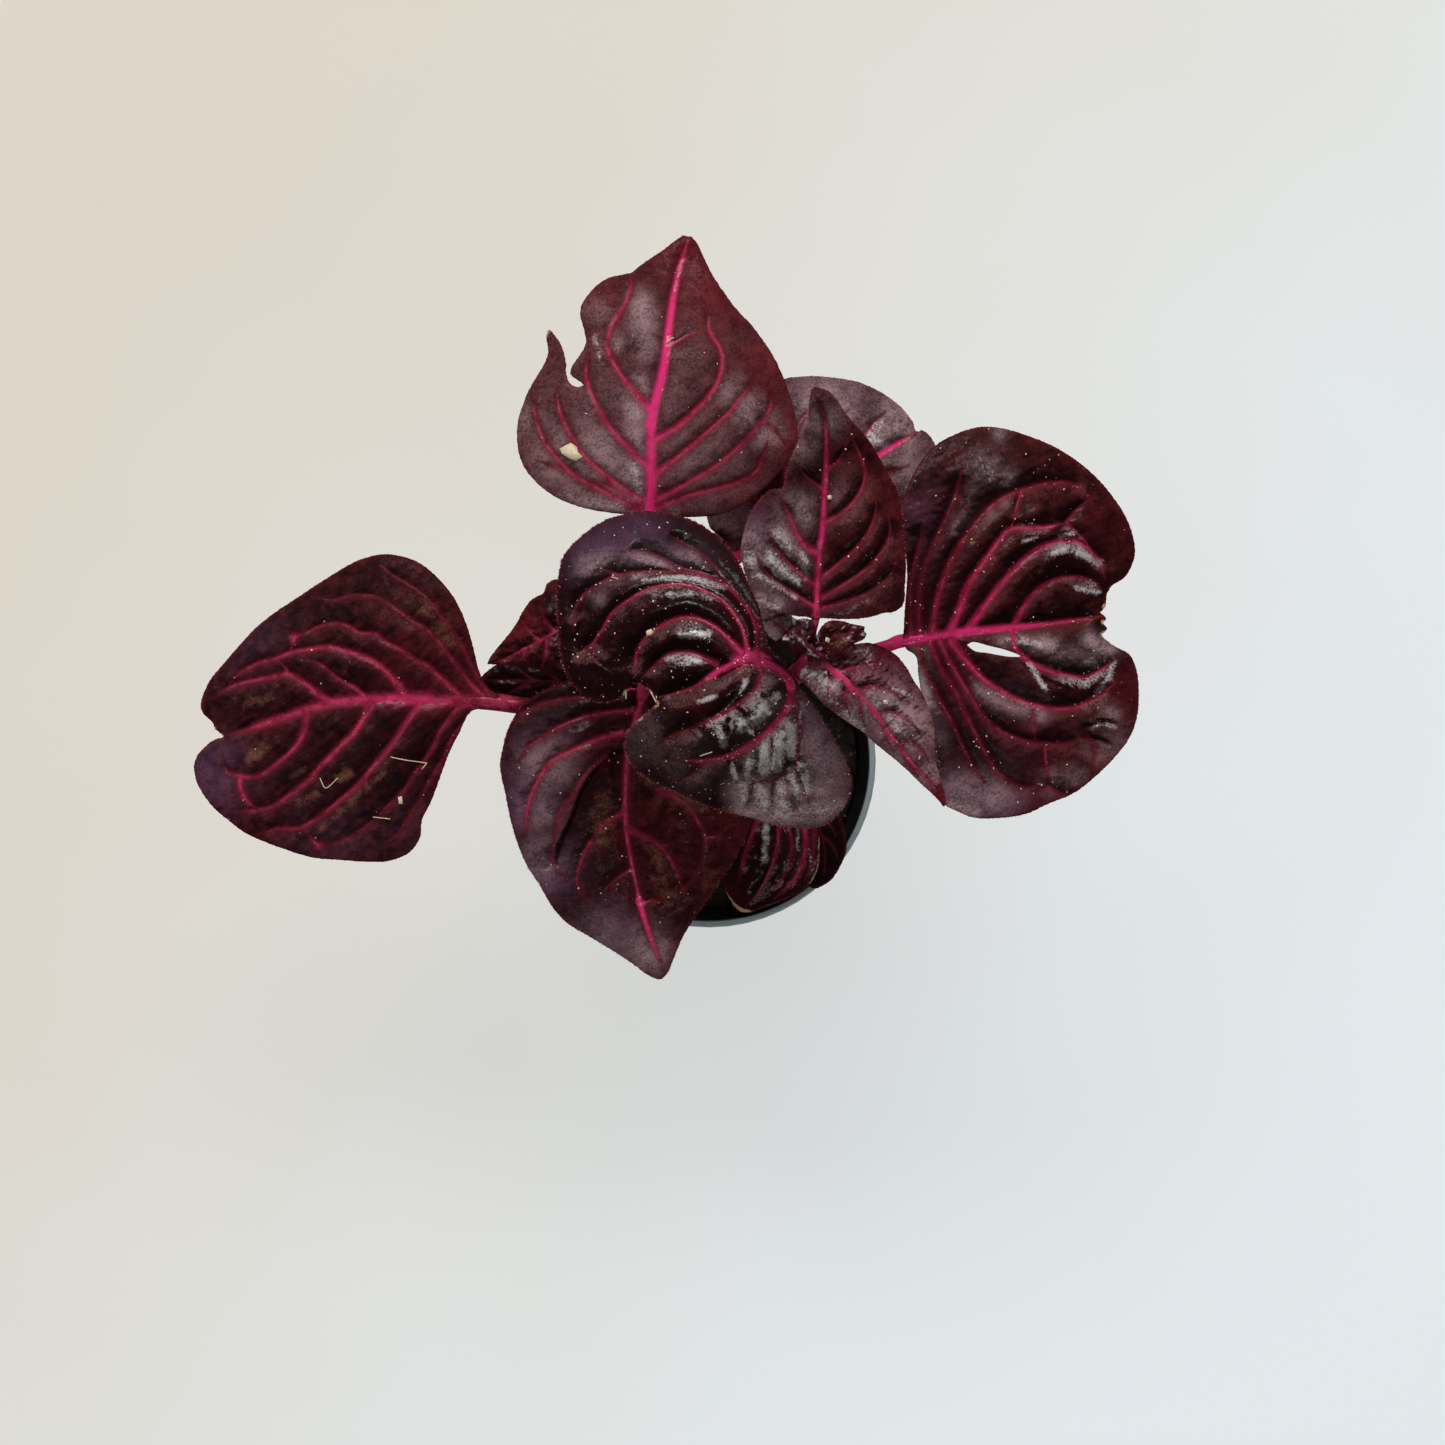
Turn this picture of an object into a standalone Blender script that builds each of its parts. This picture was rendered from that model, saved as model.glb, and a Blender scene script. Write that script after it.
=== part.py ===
"""A young bloodleaf in a round nursery pot, with two leafy stems in potting mix.

Metres, +Z up. The origin is the middle of the pot's flat underside.
Stems are given in millimetres. Leaves are given as they lie in a plan view from
EYE: each point is (column, row, height in millimetres), and at() puts it in space.
"""
import math

import bmesh
import bpy
from mathutils import Matrix, Vector

MM = 0.001
GAP = 0.3

POT_HEIGHT = 55.0
POT_RIM_RADIUS = 30.0
POT_RIM_BAND = 1.35
POT_COLLAR_HEIGHT = 7.0
POT_COLLAR_STEP = 1.2
POT_BASE_RADIUS = 22.6
POT_FLOOR = 1.4
POT_INNER_BASE_RADIUS = 21.4
POT_EDGE = 0.35
POT_SIDES = 56
DRAIN_HOLES = 8
DRAIN_RING_RADIUS = 16.5
DRAIN_HOLE_RADIUS = 2.2
DRAIN_HOLE_SIDES = 12

SOIL_TOP = 47.0
SOIL_CROWN = 0.8
SOIL_RINGS = 3
EAST = Vector((1, 0, 0))
UP = Vector((0, 0, 1))

# Each stem: points from its foot in the soil to its top, then its two end radii.
MAIN_STEM = [(0, 0, 39), (0.3, 0.2, 52), (4, 4, 72), (10, 10.5, 92), (14.6, 15.2, 106), (15.4, 16.6, 114)]
MAIN_STEM_RADII = (2.3, 1.2)
SIDE_STEM = [(-3.6, 4.6, 40), (-4.4, 7.5, 54), (-6.8, 17, 70), (-8.4, 25, 84), (-8.7, 28, 94)]
SIDE_STEM_RADII = (2.0, 1.1)
STEM_STATIONS = 15
STEM_SIDES = 12
SEAT_STATIONS = 60
BUD_OFFSET = 0.6

# The plan view: its eye in millimetres, its middle in pixels and its focal length in pixels.
EYE = (2.4, 6.9, 416.0)
PLAN_MIDDLE = 722.5
PLAN_FOCAL = 2007.0

CURVE_STEPS = 12
HARD_EDGE = math.radians(40)
LEAF_HARD_EDGE = math.radians(60)

BLADE_THICKNESS = 0.8
BLADE_STATIONS = 13
PETIOLE_STATIONS = 5
HALF_COLUMNS = 3

# A leaf has the stem and height that it grows from, its petiole's radius, how far each half
# arches between midrib and margin, the points that the petiole passes, its midrib from base
# to tip, and its two margins without their ends. Left is the left hand seen from above,
# looking from base to tip.
LEAVES = {
    "leaf_centre": {
        "stem": "main", "node": 104.5, "radius": 1.2, "arch": (5.0, 6.0),
        "petiole": [(790, 668, 111.5), (770, 663, 114.5)],
        "midrib": [(751, 657, 116), (719, 671, 115), (695, 686, 113), (654, 696, 108), (641, 701, 105)],
        "left": [(768, 677, 111.5), (799, 686, 109), (819, 713, 106.5), (845, 759, 102), (851, 776, 100),
                 (840, 812, 97), (807, 828, 96), (756, 819, 96), (705, 805, 97), (656, 783, 98),
                 (626, 754, 100), (632, 725, 103)],
        "right": [(762, 638, 115), (762, 616, 113), (746, 577, 109), (719, 538, 105), (676, 515, 102),
                  (649, 511, 101.5), (601, 522, 99.5), (564, 555, 98), (557, 594, 98), (559, 645, 99),
                  (574, 686, 101), (603, 702, 102), (626, 692, 104)],
    },
    "leaf_right": {
        "stem": "main", "node": 102.5, "radius": 1.1, "arch": (3.0, 3.0),
        "petiole": [(840, 653, 106), (872, 646, 107.5)],
        "midrib": [(904, 636, 108), (953, 633, 107), (1034, 625, 104), (1103, 621, 100)],
        "left": [(904, 608, 108), (902, 563, 107.5), (901, 518, 107), (922, 460, 106), (978, 427, 104),
                 (1051, 445, 102), (1099, 480, 100), (1130, 526, 98), (1132, 565, 97), (1107, 594, 98)],
        "right": [(918, 668, 106), (926, 703, 105), (937, 765, 103), (944, 804, 101), (975, 818, 99),
                  (1048, 804, 97), (1096, 776, 96), (1137, 717, 95), (1134, 660, 96), (1106, 636, 98.5)],
    },
    "leaf_crown_upper": {
        "stem": "main", "node": 110.5, "radius": 0.9, "arch": (0.5, 0.5),
        "petiole": [(813, 640, 117), (815, 628, 119)],
        "midrib": [(816, 614, 120), (819, 556, 121), (826, 466, 123), (823, 413, 125), (813, 391, 127)],
        "left": [(796, 616, 121), (761, 606, 123), (744, 570, 124), (743, 535, 125), (758, 501, 126),
                 (782, 489, 127), (789, 463, 127), (804, 430, 127), (808, 405, 127.5)],
        "right": [(836, 618, 121), (880, 614, 122), (905, 603, 122.5), (906, 559, 124), (901, 508, 125),
                  (880, 459, 126), (858, 427, 127), (832, 396, 127.5)],
    },
    "leaf_crown_lower": {
        "stem": "main", "node": 109.0, "radius": 0.9, "arch": (1.5, 2.0),
        "petiole": [(824, 670, 113.5), (826, 669, 115.5)],
        "midrib": [(824, 665, 117.2), (841, 676, 118), (868, 703, 117), (898, 744, 113), (944, 805, 105)],
        "left": [(830, 655, 117.5), (848, 647, 117), (872, 644, 116), (895, 654, 114), (914, 681, 112),
                 (933, 722, 110), (938, 762, 107.5), (945, 792, 105.5)],
        "right": [(808, 668, 117), (797, 674, 116.5), (811, 690, 115), (842, 718, 114), (863, 732, 112),
                  (892, 757, 110), (921, 784, 107.5)],
    },
    "leaf_top": {
        "stem": "side", "node": 88.0, "radius": 1.0, "arch": (3.0, 3.0),
        "petiole": [(652, 560, 91), (650, 535, 94)],
        "midrib": [(650, 511, 96.5), (652, 415, 100), (663, 373, 100), (672, 311, 97), (688, 238, 93)],
        "left": [(622, 515, 96.5), (584, 508, 96), (549, 493, 95), (523, 465, 94), (517, 429, 94),
                 (527, 394, 94), (547, 345, 94.5), (570, 378, 96.5), (584, 350, 96.5), (583, 302, 95.5),
                 (608, 278, 95), (660, 252, 93.5)],
        "right": [(688, 518, 96), (750, 500, 95), (792, 455, 94), (798, 430, 94), (791, 399, 94),
                  (754, 328, 94), (712, 274, 93.5)],
    },
    "leaf_front": {
        "stem": "side", "node": 87.0, "radius": 1.1, "arch": (3.0, 3.0),
        "petiole": [(654, 640, 90), (648, 675, 90)],
        "midrib": [(641, 703, 88.5), (627, 757, 86), (627, 813, 83), (636, 884, 78), (661, 978, 69)],
        "left": [(665, 702, 88), (705, 722, 87), (738, 763, 85), (753, 802, 82), (750, 823, 80.5),
                 (735, 859, 77.5), (710, 897, 74.5), (684, 935, 72), (671, 966, 69.5)],
        "right": [(620, 688, 88), (597, 682, 87.5), (569, 683, 86.5), (531, 698, 84.5), (508, 729, 82),
                  (500, 767, 80), (509, 813, 78), (526, 864, 75.5), (551, 905, 73.5), (590, 937, 71),
                  (633, 964, 69.5)],
    },
    "leaf_rear_left": {
        "stem": "side", "node": 79.0, "radius": 0.8, "arch": (1.5, 1.5),
        "petiole": [(620, 610, 82), (600, 617, 84)],
        "midrib": [(582, 622, 85), (554, 633, 86), (521, 651, 85), (488, 665, 82.5)],
        "left": [(594, 640, 84), (588, 668, 83.5), (560, 677, 83.5), (520, 667, 83)],
        "right": [(580, 600, 84.5), (560, 582, 84), (547, 585, 84), (516, 624, 83), (496, 649, 82.5)],
    },
    "leaf_rear": {
        "stem": "side", "node": 81.0, "radius": 0.9, "arch": (2.5, 2.0),
        "petiole": [(690, 583, 82.5), (720, 567, 84)],
        "midrib": [(748, 549, 85), (800, 505, 87), (877, 456, 86), (916, 433, 83)],
        "left": [(725, 540, 85), (708, 522, 85), (702, 480, 85), (715, 430, 84.5), (745, 395, 84),
                 (784, 379, 83.5), (815, 376, 83), (858, 382, 82.5), (890, 398, 82), (910, 418, 82)],
        "right": [(775, 565, 84.5), (830, 560, 84), (885, 530, 83), (925, 490, 82), (940, 455, 81.5),
                  (926, 433, 82)],
    },
    "leaf_left": {
        "stem": "side", "node": 57.0, "radius": 1.4, "arch": (3.0, 3.0),
        "petiole": [(620, 712, 66), (560, 705, 73), (512, 698, 77.5)],
        "midrib": [(483, 692, 79), (410, 698, 80), (337, 707, 79), (277, 722, 76), (224, 735, 72)],
        "left": [(470, 714, 79), (449, 753, 78), (430, 803, 76.5), (417, 846, 75), (374, 862, 74),
                 (306, 856, 73), (253, 837, 72), (199, 787, 71), (194, 765, 71), (208, 744, 71.5)],
        "right": [(476, 660, 79), (459, 607, 79), (427, 568, 78), (386, 554, 77), (345, 567, 76),
                  (304, 593, 75), (260, 624, 74), (224, 663, 73), (202, 700, 72), (213, 726, 72)],
    },
    "leaf_low_left": {
        "stem": "side", "node": 63.0, "radius": 0.8, "arch": (1.0, 1.0),
        "petiole": [(640, 694, 66), (600, 688, 68)],
        "midrib": [(572, 684, 69), (540, 681, 70), (500, 680, 69), (478, 680, 68)],
        "left": [(566, 700, 68.5), (540, 706, 68.5), (505, 698, 68.5)],
        "right": [(566, 660, 68.5), (535, 655, 68.5), (498, 664, 68.5)],
    },
    "leaf_under_top": {
        "stem": "side", "node": 74.5, "radius": 0.6, "arch": (0.5, 0.5),
        "petiole": [(680, 590, 77), (698, 580, 78)],
        "midrib": [(708, 572, 78.5), (722, 552, 79.5), (738, 530, 79)],
        "left": [(703, 556, 78.5), (712, 535, 78.5), (726, 526, 78.5)],
        "right": [(730, 568, 78.5), (746, 552, 78.5), (748, 535, 78.5)],
    },
    "leaf_young": {
        "stem": "main", "node": 107.5, "radius": 0.55, "arch": (0.5, 0.5),
        "petiole": [(796, 652, 113), (793, 646, 116)],
        "midrib": [(791, 640, 117.3), (782, 620, 117.6), (772, 603, 117.4)],
        "left": [(777, 640, 117), (768, 630, 117), (763, 612, 117)],
        "right": [(801, 628, 117), (797, 608, 117), (783, 598, 117)],
    },
    "bud_leaf_curled": {
        "stem": "main", "node": 119.0, "radius": 0.45, "arch": (0.8, 0.8),
        "petiole": [(806, 655, 118), (806, 654, 120.3)],
        "midrib": [(803, 652, 120.8), (795, 644, 122), (784, 638, 121.5)],
        "left": [(800, 658, 120.6), (793, 654, 120.8), (785, 645, 121)],
        "right": [(808, 645, 121.2), (803, 634, 121.6), (793, 631, 121.6)],
    },
    "bud_leaf_red": {
        "stem": "main", "node": 119.0, "radius": 0.45, "arch": (0.8, 0.8),
        "petiole": [(818, 650, 118), (820, 648, 120.3)],
        "midrib": [(826, 643, 120.8), (842, 636, 121.8), (865, 634, 121)],
        "left": [(824, 632, 121), (836, 620, 121.2), (850, 624, 121.2)],
        "right": [(830, 652, 120.6), (846, 651, 120.8), (858, 644, 120.8)],
    },
    "leaf_in_pot": {
        "stem": "main", "node": 50.5, "radius": 0.8, "arch": (1.5, 1.5),
        "petiole": [(745, 785, 54), (765, 790, 56.5)],
        "midrib": [(781, 791, 57.5), (778, 828, 59), (770, 872, 58), (742, 910, 56)],
        "left": [(800, 790, 58.5), (815, 810, 59.5), (819, 837, 59.5), (817, 871, 59), (808, 886, 58.5),
                 (795, 895, 57.5), (773, 904, 56.5)],
        "right": [(764, 800, 57.5), (738, 815, 57), (722, 850, 56), (724, 885, 55.5), (733, 904, 55.5)],
    },
    "leaf_over_rim": {
        "stem": "main", "node": 53.5, "radius": 0.7, "arch": (0.3, 0.3),
        "petiole": [(765, 768, 55), (790, 782, 55.6)],
        "midrib": [(806, 795, 56), (822, 835, 56.8), (828, 880, 56.8)],
        "left": [(828, 805, 56), (843, 823, 56.4), (846, 850, 56.8), (840, 867, 56.8)],
        "right": [(800, 815, 56), (802, 850, 56.4), (808, 884, 56.8), (818, 887, 56.8)],
    },
}

COLOURS = {
    "pot": ((0.19, 0.24, 0.25, 1.0), 0.45),
    "potting_mix": ((0.02, 0.014, 0.01, 1.0), 0.95),
    "main_stem": ((0.25, 0.015, 0.05, 1.0), 0.45),
    "side_stem": ((0.25, 0.015, 0.05, 1.0), 0.45),
}
LEAF_COLOUR = ((0.075, 0.008, 0.014, 1.0), 0.35)


def clear_scene():
    """Removes whatever the file holds."""
    for thing in list(bpy.data.objects):
        bpy.data.objects.remove(thing, do_unlink=True)


def at(column, row, height):
    """The point, in millimetres, at this place of the plan view and this height."""
    scale = (EYE[2] - height) / PLAN_FOCAL
    x = EYE[0] + (column - PLAN_MIDDLE) * scale
    y = EYE[1] - (row - PLAN_MIDDLE) * scale
    return Vector((x, y, height))


def through(points, count):
    """Points spaced evenly along a smooth curve that passes through the given points."""
    points = [Vector(p) for p in points]
    ends = [2 * points[0] - points[1]] + points + [2 * points[-1] - points[-2]]
    dense = []
    for a, b, c, d in zip(ends, ends[1:], ends[2:], ends[3:]):
        for step in range(CURVE_STEPS):
            t = step / CURVE_STEPS
            dense.append(0.5 * (2 * b + (c - a) * t + (2 * a - 5 * b + 4 * c - d) * t * t
                                + (3 * b - a - 3 * c + d) * t ** 3))
    dense.append(points[-1])
    run = [0.0]
    for before, after in zip(dense, dense[1:]):
        run.append(run[-1] + (after - before).length)
    placed = []
    index = 0
    for step in range(count):
        target = run[-1] * step / (count - 1)
        while index < len(run) - 2 and run[index + 1] < target:
            index += 1
        share = (target - run[index]) / max(run[index + 1] - run[index], 1e-9)
        placed.append(dense[index].lerp(dense[index + 1], min(share, 1.0)))
    return placed


def add_object(name, bm, hard_edge=HARD_EDGE):
    """The body as a named object in metres, shaded smooth, with its own material."""
    bmesh.ops.recalc_face_normals(bm, faces=bm.faces)
    mesh = bpy.data.meshes.new(name)
    bm.to_mesh(mesh)
    bm.free()
    mesh.transform(Matrix.Scale(MM, 4))
    mesh.shade_smooth()
    mesh.set_sharp_from_angle(angle=hard_edge)
    part = bpy.data.objects.new(name, mesh)
    bpy.context.collection.objects.link(part)
    colour, roughness = COLOURS.get(name, LEAF_COLOUR)
    material = bpy.data.materials.new(name)
    material.use_nodes = True
    shader = material.node_tree.nodes["Principled BSDF"]
    shader.inputs["Base Color"].default_value = colour
    shader.inputs["Roughness"].default_value = roughness
    shader.inputs["Metallic"].default_value = 0.0
    mesh.materials.append(material)
    return part


def loft(rings):
    """A closed body through rings of equally many points, with both ends filled."""
    bm = bmesh.new()
    rows = [[bm.verts.new(point) for point in ring] for ring in rings]
    count = len(rings[0])
    for lower, upper in zip(rows, rows[1:]):
        for k in range(count):
            after = (k + 1) % count
            bm.faces.new((lower[k], lower[after], upper[after], upper[k]))
    bm.faces.new(rows[0])
    bm.faces.new(rows[-1])
    return bm


def turned(profile, sides):
    """A body of revolution about Z, from (radius, height) pairs that start and end on the axis."""
    bm = bmesh.new()
    first = bm.verts.new((0, 0, profile[0][1]))
    last = bm.verts.new((0, 0, profile[-1][1]))
    rings = []
    for radius, height in profile[1:-1]:
        turn = [2 * math.pi * k / sides for k in range(sides)]
        rings.append([bm.verts.new((radius * math.cos(a), radius * math.sin(a), height)) for a in turn])
    for k in range(sides):
        after = (k + 1) % sides
        bm.faces.new((first, rings[0][k], rings[0][after]))
        bm.faces.new((last, rings[-1][after], rings[-1][k]))
        for lower, upper in zip(rings, rings[1:]):
            bm.faces.new((lower[k], lower[after], upper[after], upper[k]))
    return bm


def turned_square(side, along):
    """The side direction turned so that it lies square to the path."""
    return (side - along * (side.dot(along) / along.length_squared)).normalized()


def ring_around(centre, along, radius, sides, side):
    """A ring of points around a path, starting near its side direction."""
    side = turned_square(side, along)
    over = along.normalized().cross(side)
    turn = [math.pi * (k + 0.5) * 2 / sides for k in range(sides)]
    return [centre + radius * (side * math.cos(a) + over * math.sin(a)) for a in turn]


def stem_line(points, radii, count, extra=0.0):
    """A stem's stations, each with its middle, its direction and its radius."""
    middles = through(points, count)
    stations = []
    for k, middle in enumerate(middles):
        before = middles[max(k - 1, 0)]
        after = middles[min(k + 1, count - 1)]
        radius = radii[0] + (radii[1] - radii[0]) * k / (count - 1) + extra
        stations.append((middle, after - before, radius))
    return stations


def stem_body(points, radii, extra=0.0):
    """A stem, or with extra the hole that takes it: wider and deeper by that much."""
    stations = stem_line(points, radii, STEM_STATIONS, extra)
    if extra:
        foot, along, radius = stations[0]
        stations.insert(0, (foot - along.normalized() * extra, along, radius))
    return loft([ring_around(middle, along, radius, STEM_SIDES, EAST) for middle, along, radius in stations])


def inner_radius(height):
    """The pot's inner wall at a height."""
    top = POT_RIM_RADIUS - POT_RIM_BAND
    share = (height - POT_FLOOR) / (POT_HEIGHT - POT_FLOOR)
    return POT_INNER_BASE_RADIUS + (top - POT_INNER_BASE_RADIUS) * share


def cut(part, cutter_bm, name):
    """Takes the cutter's body out of a part."""
    cutter = add_object(name, cutter_bm)
    cutter.hide_render = True
    cutter.display_type = "WIRE"
    modifier = part.modifiers.new(name, "BOOLEAN")
    modifier.operation = "DIFFERENCE"
    modifier.solver = "EXACT"
    modifier.object = cutter


def make_pot():
    """A tapered cup with a stepped collar under its rim and a ring of drain holes in its floor."""
    collar_foot = POT_HEIGHT - POT_COLLAR_HEIGHT
    rim_inside = POT_RIM_RADIUS - POT_RIM_BAND
    profile = [
        (0, 0),
        (POT_BASE_RADIUS - POT_EDGE, 0),
        (POT_BASE_RADIUS, POT_EDGE),
        (POT_RIM_RADIUS - POT_COLLAR_STEP, collar_foot - POT_EDGE),
        (POT_RIM_RADIUS - POT_EDGE, collar_foot),
        (POT_RIM_RADIUS, collar_foot + POT_EDGE),
        (POT_RIM_RADIUS, POT_HEIGHT - POT_EDGE),
        (POT_RIM_RADIUS - POT_EDGE, POT_HEIGHT),
        (rim_inside + POT_EDGE, POT_HEIGHT),
        (rim_inside, POT_HEIGHT - POT_EDGE),
        (POT_INNER_BASE_RADIUS, POT_FLOOR + POT_EDGE),
        (POT_INNER_BASE_RADIUS - POT_EDGE, POT_FLOOR),
        (0, POT_FLOOR),
    ]
    pot = add_object("pot", turned(profile, POT_SIDES))
    for k in range(DRAIN_HOLES):
        angle = 2 * math.pi * k / DRAIN_HOLES
        centre = Vector((DRAIN_RING_RADIUS * math.cos(angle), DRAIN_RING_RADIUS * math.sin(angle), 0))
        ends = (centre - UP, centre + UP * (POT_FLOOR + 1))
        rings = [ring_around(end, UP, DRAIN_HOLE_RADIUS, DRAIN_HOLE_SIDES, EAST) for end in ends]
        cut(pot, loft(rings), f"drain_cutter_{k}")


def make_potting_mix():
    """The mix fills the pot to just under its collar, heaps slightly, and has a hole for each stem."""
    bottom = POT_FLOOR + GAP
    edge = SOIL_TOP - SOIL_CROWN
    profile = [(0, bottom), (inner_radius(bottom) - 2 * GAP, bottom), (inner_radius(edge) - GAP, edge)]
    outer = inner_radius(edge) - GAP
    for k in range(1, SOIL_RINGS + 1):
        share = k / (SOIL_RINGS + 1)
        profile.append((outer * (1 - share), edge + SOIL_CROWN * math.sin(share * math.pi / 2)))
    profile.append((0, SOIL_TOP))
    mix = add_object("potting_mix", turned(profile, POT_SIDES))
    cut(mix, stem_body(MAIN_STEM, MAIN_STEM_RADII, GAP), "main_stem_cutter")
    cut(mix, stem_body(SIDE_STEM, SIDE_STEM_RADII, GAP), "side_stem_cutter")


def stem_seat(stem, height, toward):
    """Where a petiole starts, a gap off its stem, and the direction in which it leaves."""
    points, radii = {"main": (MAIN_STEM, MAIN_STEM_RADII), "side": (SIDE_STEM, SIDE_STEM_RADII)}[stem]
    stations = stem_line(points, radii, SEAT_STATIONS)
    middle, along, radius = min(stations, key=lambda station: abs(station[0].z - height))
    away = toward - middle
    away -= along * away.dot(along) / along.length_squared
    away.normalize()
    if height > points[-1][2]:
        return stations[-1][0] + away * BUD_OFFSET + UP * GAP, UP
    return middle + away * (radius + GAP), away


def blade_ring(middle, left_edge, right_edge, arch):
    """One cross-section of a blade: over its top from left margin to right, and back below."""
    top = []
    for k in range(-HALF_COLUMNS, HALF_COLUMNS + 1):
        share = abs(k) / HALF_COLUMNS
        edge = left_edge if k < 0 else right_edge
        lift = arch[0] if k < 0 else arch[1]
        point = middle.lerp(edge, share)
        point.z += lift * 4 * share * (1 - share)
        top.append(point)
    return top + [point - UP * BLADE_THICKNESS for point in reversed(top)]


def make_leaf(name, leaf):
    """A petiole from its seat on the stem, running on into the blade as one body."""
    base = at(*leaf["midrib"][0])
    tip = at(*leaf["midrib"][-1])
    passes = [at(*point) for point in leaf["petiole"]]
    start, away = stem_seat(leaf["stem"], leaf["node"], passes[0])
    path = [start, start + away * leaf["radius"]] + passes + [base - UP * BLADE_THICKNESS / 2]
    petiole = through(path, PETIOLE_STATIONS + 1)
    midrib = through([at(*point) for point in leaf["midrib"]], BLADE_STATIONS)
    left = through([base] + [at(*point) for point in leaf["left"]] + [tip], BLADE_STATIONS)
    right = through([base] + [at(*point) for point in leaf["right"]] + [tip], BLADE_STATIONS)
    blade_side = UP.cross(midrib[1] - midrib[0]).normalized()
    rings = []
    side = blade_side
    for k in reversed(range(PETIOLE_STATIONS)):
        along = petiole[k + 1] - petiole[k - 1] if k else away
        side = turned_square(side, along)
        rings.insert(0, ring_around(petiole[k], along, leaf["radius"], 4 * HALF_COLUMNS + 2, side))
    for k in range(BLADE_STATIONS):
        grown = math.sin(math.pi * k / (BLADE_STATIONS - 1))
        arch = [lift * grown for lift in leaf["arch"]]
        spread = blade_side * leaf["radius"] if k in (0, BLADE_STATIONS - 1) else Vector()
        rings.append(blade_ring(midrib[k], left[k] + spread, right[k] - spread, arch))
    add_object(name, loft(rings), LEAF_HARD_EDGE)


clear_scene()
make_pot()
make_potting_mix()
add_object("main_stem", stem_body(MAIN_STEM, MAIN_STEM_RADII))
add_object("side_stem", stem_body(SIDE_STEM, SIDE_STEM_RADII))
for leaf_name, leaf_shape in LEAVES.items():
    make_leaf(leaf_name, leaf_shape)
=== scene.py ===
import math

import bmesh
import bpy
import numpy as np
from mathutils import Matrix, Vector
from mathutils.geometry import delaunay_2d_cdt


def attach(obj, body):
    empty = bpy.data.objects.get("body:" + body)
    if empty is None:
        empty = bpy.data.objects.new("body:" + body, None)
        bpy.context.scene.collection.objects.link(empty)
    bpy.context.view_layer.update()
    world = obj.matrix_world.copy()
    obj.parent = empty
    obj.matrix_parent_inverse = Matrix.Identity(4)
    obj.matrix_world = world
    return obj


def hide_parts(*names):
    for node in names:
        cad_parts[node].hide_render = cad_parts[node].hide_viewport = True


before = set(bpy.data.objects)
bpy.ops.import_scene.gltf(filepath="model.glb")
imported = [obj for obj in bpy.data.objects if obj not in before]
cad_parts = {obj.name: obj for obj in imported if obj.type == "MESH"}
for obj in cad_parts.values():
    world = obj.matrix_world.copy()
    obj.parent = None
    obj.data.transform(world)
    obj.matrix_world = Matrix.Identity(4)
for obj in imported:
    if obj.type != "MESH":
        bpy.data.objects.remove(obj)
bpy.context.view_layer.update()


# Camera: it looks straight down on the plant, as the photograph does. The lens and the eye
# are those of the plan view that the leaves are given in, so a pixel there is a pixel here.
MM = 0.001
EYE = np.array([2.4, 6.9, 416.0])
PLAN_MIDDLE = 722.5
PLAN_FOCAL = 2007.0
SENSOR = 36.0
camera_data = bpy.data.cameras.new("camera")
camera_data.sensor_width = SENSOR
camera_data.lens = SENSOR * PLAN_FOCAL / (2 * PLAN_MIDDLE)
camera_data.clip_start = 0.01
camera = bpy.data.objects.new("camera", camera_data)
camera.location = EYE * MM
bpy.context.collection.objects.link(camera)
bpy.context.scene.camera = camera
bpy.context.scene.view_settings.view_transform = "Standard"


# Floor: a plain pale sheet of card. Its colour is painted light: warm white at the far left
# and cool white at the near right, as warm and cool light would fall on it. The pot stands
# on it. It glows faintly, so that hardly any shadow shows on it, and the leaves don't mirror it.
FLOOR_REACH = 12.0
FLOOR_WARM_LIGHT = (0.73, 0.67, 0.575)
FLOOR_COOL_LIGHT = (0.80, 0.85, 0.87)
FLOOR_GLOW = 0.72
FLOOR_LIT = 0.23


class Wire:
    """A socket's value on its way through a material, with plain arithmetic on it."""

    def __init__(self, finish, socket):
        self.finish = finish
        self.socket = socket

    def do(self, operation, *others):
        return self.finish.add("ShaderNodeMath", {"operation": operation}, self, *others)

    def __add__(self, other):
        return self.do("ADD", other)

    def __sub__(self, other):
        return self.do("SUBTRACT", other)

    def __rsub__(self, other):
        return self.finish.add("ShaderNodeMath", {"operation": "SUBTRACT"}, other, self)

    def __mul__(self, other):
        return self.do("MULTIPLY", other)

    __radd__ = __add__
    __rmul__ = __mul__


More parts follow.
